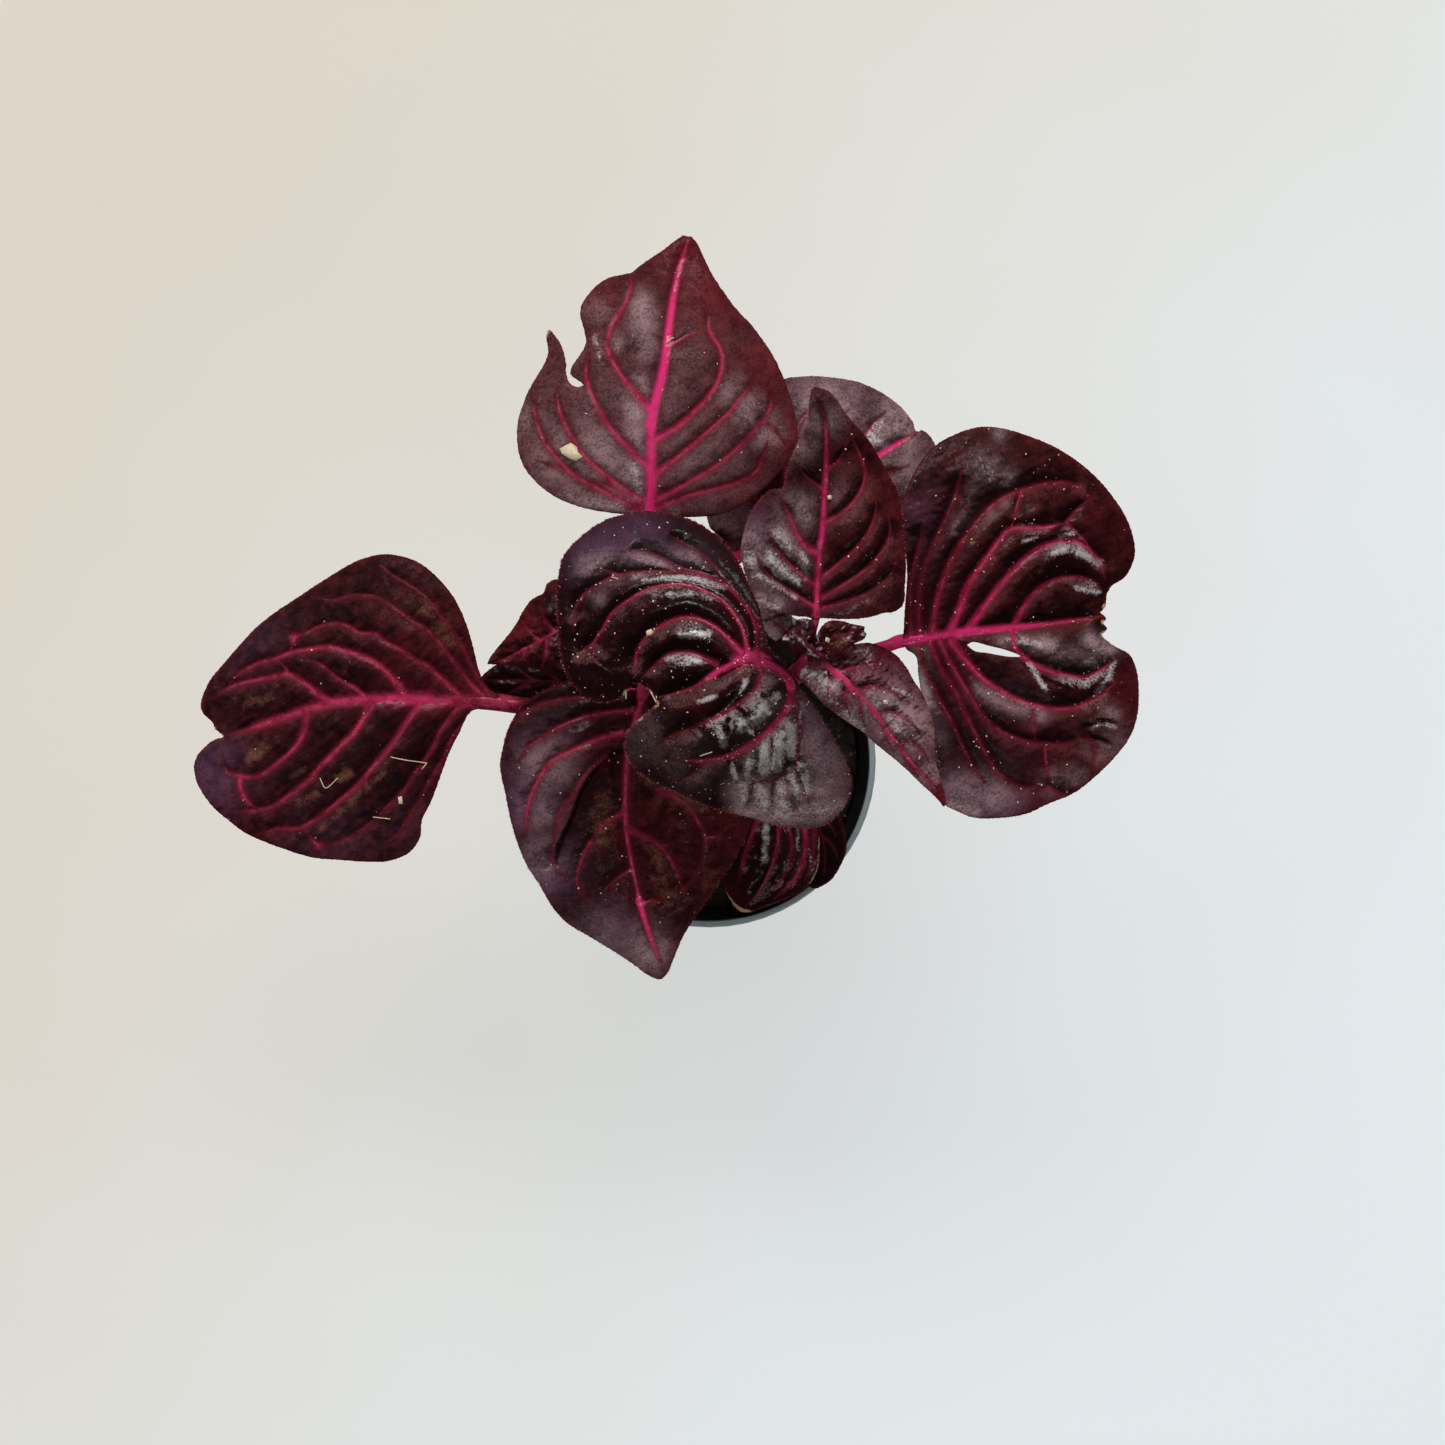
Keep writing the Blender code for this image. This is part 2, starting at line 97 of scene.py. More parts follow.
class Finish:
    """A material in the making, or the sky. Each node comes from its type, settings and sockets."""

    def __init__(self, name, tree=None):
        if tree is None:
            self.material = bpy.data.materials.new(name)
            self.material.use_nodes = True
            tree = self.material.node_tree
            self.shader = tree.nodes["Principled BSDF"]
        self.tree = tree

    def join(self, value, socket):
        if isinstance(value, Wire):
            self.tree.links.new(value.socket, socket)
        else:
            socket.default_value = value

    def add(self, kind, settings, *values, output=0, **named):
        node = self.tree.nodes.new(kind)
        for name, value in settings.items():
            setattr(node, name, value)
        for index, value in enumerate(values):
            self.join(value, node.inputs[index])
        for name, value in named.items():
            self.join(value, node.inputs[name.replace("_", " ")])
        return Wire(self, node.outputs[output])

    def set(self, **sockets):
        for name, value in sockets.items():
            self.join(value, self.shader.inputs[name.replace("_", " ")])

    def places(self, kind="Object"):
        return self.add("ShaderNodeTexCoord", {}, output=kind)

    def axes(self, places):
        """The places' x, y and z."""
        split = self.add("ShaderNodeSeparateXYZ", {}, places)
        return [Wire(self, socket) for socket in split.socket.node.outputs]

    def noise(self, places, scale, detail=3.0, roughness=0.55):
        return self.add("ShaderNodeTexNoise", {}, Vector=places, Scale=scale, Detail=detail,
                        Roughness=roughness)

    def cells(self, places, scale, feature="F1"):
        return self.add("ShaderNodeTexVoronoi", {"feature": feature}, Vector=places, Scale=scale)

    def ramp(self, value, low, high):
        """0 up to low, 1 from high on, a smooth step between. It falls where high is the lower."""
        return self.add("ShaderNodeMapRange", {"interpolation_type": "SMOOTHSTEP"}, value, low, high, 0.0,
                        1.0)

    def blend(self, share, first, second):
        """A colour between two, each a colour or a wire."""
        mix = self.add("ShaderNodeMix", {"data_type": "RGBA"}, share, output=2)
        for index, value in ((6, first), (7, second)):
            self.join((*value, 1.0) if isinstance(value, tuple) else value, mix.socket.node.inputs[index])
        return mix

    def attribute(self, name):
        return self.add("ShaderNodeAttribute", {"attribute_name": name}, output="Fac")

    def bump(self, height, strength, distance):
        return self.add("ShaderNodeBump", {}, Strength=strength, Distance=distance, Height=height)


bpy.ops.mesh.primitive_plane_add(size=2 * FLOOR_REACH, location=(0, 0, 0))
floor = bpy.context.object
floor.name = "floor"
card = Finish("pale_card")
card_places = card.places()
card_x, card_y, _ = card.axes(card_places)
card_cloud = card.noise(card_places, 9.0)
# Painted light: the card turns from warm white to cool white across the floor.
card_light_tint = card.ramp(card_x - card_y * 0.75 + (card_cloud - 0.5) * 0.12, -0.24, 0.20)
card_colour = card.blend(card_light_tint, FLOOR_WARM_LIGHT, FLOOR_COOL_LIGHT)
card.set(Base_Color=card.blend(1 - FLOOR_LIT, card_colour, (0, 0, 0)), Roughness=0.85)
card.set(Specular_IOR_Level=0.1, Emission_Color=card_colour, Emission_Strength=FLOOR_GLOW)
card.set(Normal=card.bump(card.noise(card_places, 240.0), 0.06, 0.4 * MM))
floor.data.materials.append(card.material)
floor.visible_glossy = False


# Light: a soft tent that is bright all around, more so beyond the plant than before it, and
# dark overhead, so that leaves that lie flat stay dark. The leaves don't mirror it: three
# panels give them their gloss.
COOL_WHITE = (0.97, 0.985, 1.0)
PANELS = {
    "wide_panel": ((-0.10, 0.80, 0.92), (0.95, 0.36), 12.0, COOL_WHITE),
    "left_panel": ((-0.80, 0.30, 0.85), (0.40, 0.40), 1.6, (0.93, 0.96, 1.0)),
    "near_panel": ((0.20, -0.75, 0.62), (0.50, 0.16), 1.1, (1.0, 0.96, 0.92)),
}
LIT_PLACE = Vector((0.0, 0.0, 0.08))
TENT_BEYOND = 0.95
TENT_BEFORE = 0.45
TENT_OVERHEAD = 0.26
TENT_SEEN = 0.86
for panel_name, (spot, size, power, colour) in PANELS.items():
    light_data = bpy.data.lights.new(panel_name, "AREA")
    light_data.shape = "RECTANGLE"
    light_data.size, light_data.size_y = size
    light_data.energy = power
    light_data.color = colour
    light = bpy.data.objects.new(panel_name, light_data)
    light.location = spot
    light.rotation_euler = (LIT_PLACE - Vector(spot)).to_track_quat("-Z", "Y").to_euler()
    bpy.context.collection.objects.link(light)
world = bpy.data.worlds.new("studio")
bpy.context.scene.world = world
world.use_nodes = True
world.cycles_visibility.glossy = False
backdrop = world.node_tree.nodes["Background"]
tent = Finish("studio", world.node_tree)
_, tent_y, tent_z = tent.axes(tent.places("Generated"))
tent_wall = tent.ramp(tent_y, -0.35, 0.5) * (TENT_BEYOND - TENT_BEFORE) + TENT_BEFORE
tent_glow = (tent_wall - TENT_OVERHEAD) * tent.ramp(tent_z, 0.82, 0.50) + TENT_OVERHEAD
seen = tent.add("ShaderNodeLightPath", {})
tent.join(tent_glow + seen * (TENT_SEEN - tent_glow), backdrop.inputs["Strength"])
tent.join((*COOL_WHITE, 1.0), backdrop.inputs["Color"])


# Pot: a small injection-moulded nursery pot, satin grey outside and on its rim and black
# inside. The CAD body keeps its shape. Its finish turns black inside the wall's middle.
POT_GREY = (0.235, 0.285, 0.292)
POT_GREY_WORN = (0.320, 0.360, 0.355)
POT_SOILED = (0.05, 0.045, 0.04)
POT_BLACK = (0.004, 0.004, 0.0045)
POT_RIM_INSIDE = 28.65
POT_FLOOR_INSIDE = 21.4
POT_HEIGHT = 55.0
POT_FLOOR = 1.4
wall_lean = (POT_RIM_INSIDE - POT_FLOOR_INSIDE) / (POT_HEIGHT - POT_FLOOR)
plastic = Finish("pot_plastic")
pot_places = plastic.places()
pot_x, pot_y, pot_z = plastic.axes(pot_places)
pot_radius = (pot_x * pot_x + pot_y * pot_y).do("SQRT")
inner_wall = (pot_z - POT_FLOOR * MM) * wall_lean + POT_FLOOR_INSIDE * MM
outside = plastic.ramp(pot_radius - inner_wall, 0.1 * MM, 0.35 * MM)
underside = plastic.ramp(pot_z, 0.9 * MM, 0.5 * MM)
scuffs = plastic.ramp(plastic.noise(pot_places, 190.0, 5.0, 0.7), 0.52, 0.72)
soiled = plastic.ramp(plastic.noise(pot_places, 420.0, 4.0, 0.6), 0.60, 0.72)
pot_grey = plastic.blend(scuffs * 0.5, POT_GREY, POT_GREY_WORN)
pot_grey = plastic.blend(soiled * 0.35, pot_grey, POT_SOILED)
plastic.set(Base_Color=plastic.blend(outside.do("MAXIMUM", underside), POT_BLACK, pot_grey))
plastic.set(Roughness=plastic.noise(pot_places, 600.0) * 0.2 + 0.34)
plastic.set(Normal=plastic.bump(plastic.noise(pot_places, 2600.0, 2.0), 0.12, 0.06 * MM))
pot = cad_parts["pot"]
pot.data.materials.clear()
pot.data.materials.append(plastic.material)


# Potting mix: damp black peat with bark crumbs, pressed into the pot by hand to a few
# millimetres under its rim. Its bed is a lumpy disc, and the loose crumbs lie on top.
SOIL_TOP = 47.0
SOIL_FOOT = 1.7
SOIL_GAP = 0.3
SOIL_SINK = 0.8
SOIL_LUMPS = ((0.75, 9.0, 3), (0.4, 3.5, 4), (0.22, 1.6, 5))
SOIL_RINGS = 46
SOIL_SPOKES = 150
CRUMB_KINDS = 5
CRUMBS_PER_M2 = 420000.0
CRUMB_SIZES = (0.35, 1.9)
CRUMB_RARITY = 3.0
CRUMB_UPRIGHT = 0.2
PEAT_BLACK = (0.006, 0.0045, 0.004)
PEAT_BROWN = (0.030, 0.018, 0.011)
BARK_BROWN = (0.16, 0.085, 0.035)
TAU = 2 * math.pi


def put_in(mesh, slot, *nodes):
    """A piece with this mesh and its name, on the root body, standing for those CAD nodes."""
    piece = bpy.data.objects.new(mesh.name, mesh)
    bpy.context.collection.objects.link(piece)
    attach(piece, "root")
    if nodes:
        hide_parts(*nodes)
    return piece


class Shape:
    """Points, faces and one number per point under each name, gathered for one piece."""

    def __init__(self, *names):
        self.points = []
        self.faces = []
        self.numbers = {name: [] for name in names}
        self.count = 0

    def add(self, points, faces, **numbers):
        """Takes on a body, with points in millimetres. A number may be one value for all of it."""
        self.points.append(np.asarray(points, float))
        self.faces += [[corner + self.count for corner in face] for face in faces]
        self.count += len(points)
        for name, parts in self.numbers.items():
            parts.append(np.broadcast_to(np.asarray(numbers.get(name, 0.0), float), (len(points),)))

    def piece(self, name, finish, slot, *nodes):
        mesh = bpy.data.meshes.new(name)
        mesh.from_pydata((np.concatenate(self.points) * MM).tolist(), [], self.faces)
        mesh.shade_smooth()
        for title, parts in self.numbers.items():
            layer = mesh.attributes.new(title, "FLOAT", "POINT")
            layer.data.foreach_set("value", np.concatenate(parts).astype(np.float32))
        mesh.materials.append(finish.material)
        return put_in(mesh, slot, *nodes)


def ripple(places, wave, seed):
    """Gentle unevenness at these places, about one wave across, with a spread of 1."""
    draw = np.random.default_rng(seed)
    total = np.zeros(len(places))
    ways = 16
    for _ in range(ways):
        turn, start = draw.uniform(0, TAU, 2)
        length = wave * draw.uniform(0.7, 1.5)
        total += np.sin(places @ np.array([math.cos(turn), math.sin(turn)]) * TAU / length + start)
    return total / math.sqrt(ways / 2)


def soil_limit(height):
    """The bed's radius at a height, a gap off the pot's wall."""
    return POT_FLOOR_INSIDE + (height - POT_FLOOR) * wall_lean - SOIL_GAP


def soil_surface(places):
    """The bed's height at these places, in millimetres, with gentler lumps by the wall."""
    far = np.hypot(*places.T) / soil_limit(SOIL_TOP)
    lumps = sum(rise * ripple(places, wave, seed) for rise, wave, seed in SOIL_LUMPS)
    return SOIL_TOP - SOIL_SINK + lumps * (1 - 0.3 * far)


def pebble(tray, name, squeeze, draw=None):
    """A ball about 1 mm across in a tray, squeezed, and knocked about where there is a draw."""
    ball = bmesh.new()
    bmesh.ops.create_icosphere(ball, subdivisions=1, radius=0.5 * MM)
    for vert in ball.verts:
        knock = draw.uniform(0.75, 1.25) if draw else 1.0
        vert.co = Vector([value * part * knock for value, part in zip(vert.co, squeeze)])
    mesh = bpy.data.meshes.new(name)
    ball.to_mesh(mesh)
    ball.free()
    tray.objects.link(bpy.data.objects.new(name, mesh))


class Weave:
    """A Geometry Nodes tree in the making, with named inputs for its sizes."""

    def __init__(self, name):
        self.tree = bpy.data.node_groups.new(name, "GeometryNodeTree")
        self.tree.interface.new_socket("Geometry", in_out="INPUT", socket_type="NodeSocketGeometry")
        self.tree.interface.new_socket("Geometry", in_out="OUTPUT", socket_type="NodeSocketGeometry")
        self.start = self.tree.nodes.new("NodeGroupInput")
        self.end = self.tree.nodes.new("NodeGroupOutput")
        self.sizes = {}

    def size(self, name, value):
        """A named input and its value. Returns the socket that reads it in the tree."""
        socket = self.tree.interface.new_socket(name, in_out="INPUT", socket_type="NodeSocketFloat")
        self.sizes[socket.identifier] = value
        return self.start.outputs[name]

    def add(self, kind, settings, sockets, output=0):
        node = self.tree.nodes.new(kind)
        for name, value in settings.items():
            setattr(node, name, value)
        for name, value in sockets.items():
            if isinstance(value, bpy.types.NodeSocket):
                self.tree.links.new(value, node.inputs[name])
            else:
                node.inputs[name].default_value = value
        return node.outputs[output]

    def draw(self, low, high, seed):
        """A random number, or a random vector between two."""
        kind, output = ("FLOAT_VECTOR", 0) if isinstance(low, tuple) else ("FLOAT", 1)
        return self.add("FunctionNodeRandomValue", {"data_type": kind},
                        {"Min": low, "Max": high, "Seed": seed}, output)

    def compare(self, value, operation, limit):
        return self.add("FunctionNodeCompare", {"operation": operation}, {0: value, 1: limit})

    def number(self, name):
        return self.add("GeometryNodeInputNamedAttribute", {"data_type": "FLOAT"}, {"Name": name})

    def spread(self, where, density, seed):
        """Random spots on the base object's faces, where the first socket says."""
        return self.add("GeometryNodeDistributePointsOnFaces", {},
                        {"Mesh": self.start.outputs[0], "Selection": where, "Density": density,
                         "Seed": seed})

    def strew(self, spots, tray, smallest, largest, rarity, title):
        """Loose grains out of a tray, turned at random, with a number each. The higher the rarity,
        the fewer large ones."""
        share = self.add("ShaderNodeMath", {"operation": "POWER"}, {0: self.draw(0.0, 1.0, 2), 1: rarity})
        size = self.add("ShaderNodeMapRange", {}, {"Value": share, "To Min": smallest, "To Max": largest})
        kinds = self.add("GeometryNodeCollectionInfo", {}, {"Collection": tray, "Separate Children": True})
        turn = self.draw((0, 0, 0), (TAU, TAU, TAU), 3)
        grains = self.add("GeometryNodeInstanceOnPoints", {},
                          {"Points": spots, "Instance": kinds, "Pick Instance": True, "Rotation": turn,
                           "Scale": size})
        return self.add("GeometryNodeStoreNamedAttribute", {"data_type": "FLOAT", "domain": "INSTANCE"},
                        {"Geometry": grains, "Name": title, "Value": self.draw(0.0, 1.0, 5)})

    def grow_on(self, base, geometry, finish, name, slot):
        """Ends the tree, runs it on a base object, and makes the result a plain piece."""
        real = self.add("GeometryNodeRealizeInstances", {}, {"Geometry": geometry})
        real = self.add("GeometryNodeSetShadeSmooth", {}, {"Geometry": real, "Shade Smooth": True})
        dressed = self.add("GeometryNodeSetMaterial", {}, {"Geometry": real, "Material": finish.material})
        self.tree.links.new(dressed, self.end.inputs["Geometry"])
        modifier = base.modifiers.new(name, "NODES")
        modifier.node_group = self.tree
        for identifier, value in self.sizes.items():
            modifier[identifier] = value
        evaluated = base.evaluated_get(bpy.context.evaluated_depsgraph_get())
        mesh = bpy.data.meshes.new_from_object(evaluated)
        base.modifiers.remove(modifier)
        mesh.name = name
        put_in(mesh, slot)


peat = Finish("potting_mix")
peat_places = peat.places()
peat_grain = peat.noise(peat_places, 900.0, 5.0, 0.7)
peat_colour = peat.blend(peat.ramp(peat_grain, 0.35, 0.75), PEAT_BLACK, PEAT_BROWN)
bark = peat.ramp(peat.attribute("bark"), 0.80, 0.95)
peat.set(Base_Color=peat.blend(bark * 0.8, peat_colour, BARK_BROWN), Specular_IOR_Level=0.3)
peat.set(Roughness=peat_grain * 0.3 + 0.65, Normal=peat.bump(peat_grain, 0.6, 0.4 * MM))
bed = Shape("bark")
ring_radii = np.linspace(0, 1, SOIL_RINGS + 1)[1:] * (soil_limit(SOIL_TOP) - 0.1)
spoke_turns = np.arange(SOIL_SPOKES) * TAU / SOIL_SPOKES
around = np.stack([np.cos(spoke_turns), np.sin(spoke_turns)], 1)
bed_places = np.concatenate([[[0.0, 0.0]]] + [around * radius for radius in ring_radii])
bed_top = np.column_stack([bed_places, soil_surface(bed_places)])
bed_foot = np.column_stack([around * (soil_limit(SOIL_FOOT) - SOIL_GAP), np.full(SOIL_SPOKES, SOIL_FOOT)])
bed_points = np.concatenate([bed_top, bed_foot, [[0.0, 0.0, SOIL_FOOT]]])
bed_faces = []
for k in range(SOIL_SPOKES):
    after = (k + 1) % SOIL_SPOKES
    bed_faces.append((0, 1 + k, 1 + after))
    for ring in range(SOIL_RINGS):
        inner = 1 + ring * SOIL_SPOKES
        bed_faces.append((inner + k, inner + SOIL_SPOKES + k, inner + SOIL_SPOKES + after, inner + after))
    bed_faces.append((inner + SOIL_SPOKES + k, len(bed_points) - 1, inner + SOIL_SPOKES + after))
bed.add(bed_points, bed_faces)
soil_bed = bed.piece("potting_mix_bed", peat, "potting_mix", "potting_mix")
crumb_tray = bpy.data.collections.new("crumb_tray")
for number in range(CRUMB_KINDS):
    draw = np.random.default_rng(20 + number)
    pebble(crumb_tray, f"crumb_{number}", draw.uniform(0.45, 1.2, 3), draw)
scatter = Weave("crumbs_on_bed")
crowding = scatter.size("Crumbs per square metre", CRUMBS_PER_M2)
smallest = scatter.size("Smallest crumb", CRUMB_SIZES[0])
largest = scatter.size("Largest crumb", CRUMB_SIZES[1])
normal = scatter.add("GeometryNodeInputNormal", {}, {})
upright = scatter.add("ShaderNodeSeparateXYZ", {}, {0: normal}, "Z")
spots = scatter.spread(scatter.compare(upright, "GREATER_THAN", CRUMB_UPRIGHT), crowding, 7)
crumbs = scatter.strew(spots, crumb_tray, smallest, largest, CRUMB_RARITY, "bark")
scatter.grow_on(soil_bed, crumbs, peat, "potting_mix_crumbs", "potting_mix")


# Stems: two fleshy crimson stems that root in the mix, the leaning one under the crown and
# one behind it. Each swells at its nodes, where leaves grow or once grew, and is faintly fluted.
STEM_ROUTES = {
    "main": [(0, 0, 39), (0.3, 0.2, 52), (4, 4, 72), (10, 10.5, 92), (14.6, 15.2, 106), (15.4, 16.6, 114)],
    "side": [(-3.6, 4.6, 40), (-4.4, 7.5, 54), (-6.8, 17, 70), (-8.4, 25, 84), (-8.7, 28, 94)],
}
STEM_RADII = {"main": (2.3, 1.2), "side": (2.0, 1.1)}
STEM_TIP = (0.92, 0.75, 0.45)
STEM_STEP = 0.45
STEM_SIDES = 24
STEM_NODES = {"main": (52, 63, 76, 91, 103.5, 110), "side": (57, 63, 74.5, 80, 87.5)}
NODE_SWELL = 0.42
NODE_REACH = 1.8
FLUTE_DEPTH = 0.035
WOODY_HEIGHTS = (62, 49)
FLESH_DARK = (0.12, 0.004, 0.022)
FLESH_BRIGHT = (0.30, 0.006, 0.065)
WOODY_BROWN = (0.055, 0.022, 0.016)


def smooth_line(points, step):
    """Points about a step apart along a smooth curve through the given ones."""
    points = np.asarray(points, float)
    ends = np.concatenate([[2 * points[0] - points[1]], points, [2 * points[-1] - points[-2]]])
    t = np.linspace(0, 1, 12, endpoint=False)[:, None]
    parts = []
    for a, b, c, d in zip(ends, ends[1:], ends[2:], ends[3:]):
        parts.append(0.5 * (2 * b + (c - a) * t + (2 * a - 5 * b + 4 * c - d) * t ** 2
                            + (3 * b - a - 3 * c + d) * t ** 3))
    dense = np.concatenate(parts + [points[-1:]])
    run = np.concatenate([[0], np.cumsum(np.linalg.norm(np.diff(dense, axis=0), axis=1))])
    places = np.linspace(0, run[-1], max(int(round(run[-1] / step)), 2) + 1)
    return np.column_stack([np.interp(places, run, column) for column in dense.T])


def tube(middles, radii, sides, flute=0.0):
    """A closed tube along a path, with a rounded point at each end."""
    count = len(middles)
    along = np.gradient(middles, axis=0)
    along /= np.linalg.norm(along, axis=1)[:, None]
    side = np.array([1.0, 0.0, 0.0]) if abs(along[0][0]) < 0.8 else np.array([0.0, 1.0, 0.0])
    turns = np.arange(sides) * TAU / sides
    profile = 1 + flute * np.cos(4 * turns)
    points = [middles[0] - along[0] * radii[0] * 0.5]
    for k in range(count):
        side = side - along[k] * side.dot(along[k])
        side /= np.linalg.norm(side)
        over = np.cross(along[k], side)
        ring = np.outer(np.cos(turns) * profile, side) + np.outer(np.sin(turns) * profile, over)
        points += list(middles[k] + ring * radii[k])
    points.append(middles[-1] + along[-1] * radii[-1] * 0.5)
    faces = []
    for k in range(sides):
        after = (k + 1) % sides
        faces.append((0, 1 + after, 1 + k))
        for ring in range(count - 1):
            low = 1 + ring * sides
            faces.append((low + k, low + after, low + sides + after, low + sides + k))
        last = 1 + (count - 1) * sides
        faces.append((last + k, last + after, last + sides))
    return np.array(points), faces


def stem_radius(stem, heights, line):
    """A stem's radius at these heights, swollen at its nodes."""
    thick, thin = STEM_RADII[stem]
    share = (heights - line[0][2]) / (line[-1][2] - line[0][2])
    radius = thick + (thin - thick) * share
    for node in STEM_NODES[stem]:
        radius = radius + NODE_SWELL * np.exp(-((heights - node) / NODE_REACH) ** 2) * (1 - 0.5 * share)
    return radius


flesh = Finish("stem_flesh")
flesh_places = flesh.places()
flesh_mottle = flesh.noise(flesh_places, 420.0, 4.0, 0.6)
flesh_height = flesh.axes(flesh_places)[2]
woody = flesh.ramp(flesh_height, WOODY_HEIGHTS[0] * MM, WOODY_HEIGHTS[1] * MM)
flesh_colour = flesh.blend(flesh_mottle, FLESH_DARK, FLESH_BRIGHT)
flesh.set(Base_Color=flesh.blend(woody * 0.7, flesh_colour, WOODY_BROWN))
flesh.set(Roughness=flesh_mottle * 0.25 + 0.26, Coat_Weight=0.25, Coat_Roughness=0.15)
flesh.set(Normal=flesh.bump(flesh.noise(flesh_places, 1900.0, 3.0), 0.2, 0.1 * MM))
stem_lines = {}
for stem, route in STEM_ROUTES.items():
    line = smooth_line(route, STEM_STEP)
    stem_lines[stem] = line
    radii = stem_radius(stem, line[:, 2], line)
    radii[-len(STEM_TIP) :] *= STEM_TIP
    fleshy = Shape()
    fleshy.add(*tube(line, radii, STEM_SIDES, FLUTE_DEPTH))
    fleshy.piece(f"{stem}_stem_flesh", flesh, "stem", f"{stem}_stem")


# Leaf at the middle: the most deeply quilted one, glossy black between crimson veins, high on
# the main stem. Every leaf is one thin fleshy blade, sunken along its veins and ribbed below,
# and run on from the stalk that grows out of its stem.
BLADE_THICKNESS = 0.34
BLADE_THINNING = 0.45
BLADE_THINNING_REACH = 4
BLADE_GLOSS = 0.2
RIB_DEPTH = 0.75
GRAIN = 1.6
ROW_STEP = 0.866
RIM_CLEARANCE = 0.65
VEIN_CLEARANCE = 0.5
KNOT_GIVE = 0.002
CROWD = 3.2
MIDRIB_TAPER = 0.62
VEIN_TAPER = 0.42
VEIN_FLARE = 0.25
VEIN_FLARE_FADE = 14
VEIN_LEAST = 0.9
VEIN_RUN_OUT = 22.0
VEIN_END_SHARE = 0.45
CREASE_STEP = 3.0
FOLD_STEP = 1.6
EDGE_CURL_REACH = 5.0
BLADE_WAVES = ((24.0, 1.0), (11.0, 0.6), (5.0, 0.35))
STALK_SIDES = 16
STALK_STEP = 0.5
STALK_FOOT = 1.15
STALK_RISE = 0.25
STALK_BLUSH_REACH = 3
RIB_STATIONS = 14
RIB_SHARE = 0.85
RIB_TIP_RADIUS = 0.22
# The plan direction the wide panel lights the leaves from; the painted light and shade follow it.
LIGHT_SIDE = (-0.25, 0.97)
BLADE_MARKS = ("dark", "red", "purple", "grey", "brown", "pale", "gloss", "dry")
BLADE_NUMBERS = ("vein", "glow", "edge", *BLADE_MARKS, "flank", "under")
BLADE_BLACK = (0.0085, 0.0020, 0.0024)
BLADE_BROWN = (0.048, 0.0070, 0.0070)
BLADE_WINE = (0.110, 0.0055, 0.0095)
# Plum tint, partly lightened and blued as painted sheen.
BLADE_PLUM = (0.102, 0.043, 0.082)
# Painted sheen, over the grey tint that some leaves have.
BLADE_SHEEN_GREY = (0.34, 0.218, 0.226)
BLADE_RUST = (0.115, 0.045, 0.026)
BLADE_DRY = (0.36, 0.23, 0.12)
# Painted highlight.
BLADE_HIGHLIGHT = (0.44, 0.395, 0.39)
# Painted shade, also used at random for dark grain, and painted light.
BLADE_SHADE_AND_GRAIN = (0.0045, 0.0008, 0.0010)
BLADE_LIT = (0.120, 0.028, 0.030)
BLADE_UNDER = (0.120, 0.008, 0.026)
VEIN_DARK = (0.075, 0.0055, 0.012)
VEIN_RED = (0.235, 0.010, 0.036)
VEIN_ROSE = (0.42, 0.034, 0.085)
VEIN_HOT = (0.60, 0.022, 0.140)
VEIN_UNDER = (0.34, 0.012, 0.085)


def in_space(places, heights):
    """The points, in millimetres, at these (column, row) places of the plan view."""
    scale = (EYE[2] - heights) / PLAN_FOCAL
    x = EYE[0] + (places[:, 0] - PLAN_MIDDLE) * scale
    y = EYE[1] - (places[:, 1] - PLAN_MIDDLE) * scale
    return np.column_stack([x, y, heights])


def surface_through(knots):
    """A smooth height over the plan view through (column, row, height) knots."""
    knots = np.array(knots, float)
    spots, heights = knots[:, :2] / 100, knots[:, 2]

    def pull(one, other):
        far = np.linalg.norm(one[:, None] - other[None], axis=2) + 1e-9
        return far * far * np.log(far)

    flat = np.column_stack([np.ones(len(spots)), spots])
    count = len(spots)
    system = np.zeros((count + 3, count + 3))
    system[:count, :count] = pull(spots, spots) + KNOT_GIVE * np.eye(count)
    system[:count, count:] = flat
    system[count:, :count] = flat.T
    weights = np.linalg.solve(system, np.concatenate([heights, np.zeros(3)]))

    def height(places):
        there = places / 100
        tilt = np.column_stack([np.ones(len(there)), there])
        return pull(there, spots) @ weights[:count] + tilt @ weights[count:]

    return height


def nearest(places, line):
    """Each place's distance to a line, how far along it that is (0 to 1), and on which hand."""
    a, b = line[:-1], line[1:]
    span = b - a
    length = np.maximum(np.hypot(*span.T), 1e-9)
    run = np.concatenate([[0], np.cumsum(length)])
    gap_x = places[:, :1] - a[:, 0]
    gap_y = places[:, 1:] - a[:, 1]
    share = np.clip((gap_x * span[:, 0] + gap_y * span[:, 1]) / length ** 2, 0, 1)
    gap = np.hypot(gap_x - share * span[:, 0], gap_y - share * span[:, 1])
    best = gap.argmin(1)
    row = np.arange(len(places))
    hand = np.sign(gap_x[row, best] * span[best, 1] - gap_y[row, best] * span[best, 0])
    return gap[row, best], (run[best] + share[row, best] * length[best]) / run[-1], hand


def inside(places, loop):
    """Whether each place is inside a closed loop."""
    x, y = places[:, :1], places[:, 1:]
    x1, y1 = loop.T
    x2, y2 = np.roll(loop, -1, axis=0).T
    straddles = (y1 > y) != (y2 > y)
    meets = x1 + (y - y1) * (x2 - x1) / np.where(y2 == y1, 1e-9, y2 - y1)
    return (straddles & (x < meets)).sum(1) % 2 == 1


def on_blade(places, rims):
    """Whether each place is inside the blade's outline, the first rim, and outside its holes."""
    kept = inside(places, rims[0])
    for hole in rims[1:]:
        kept &= ~inside(places, hole)
    return kept


def spotted(places, streaks):
    """The strongest of a few soft streaks: each is the columns and rows it runs through, or of
    its middle alone, then its reach and its strength."""
    total = np.zeros(len(places))
    for *route, reach, strength in streaks:
        line = np.array(route, float).reshape(-1, 2)
        if len(line) == 1:
            line = np.concatenate([line, line + 0.1])
        total = np.maximum(total, strength * np.exp(-(nearest(places, line)[0] / reach) ** 2))
    return total


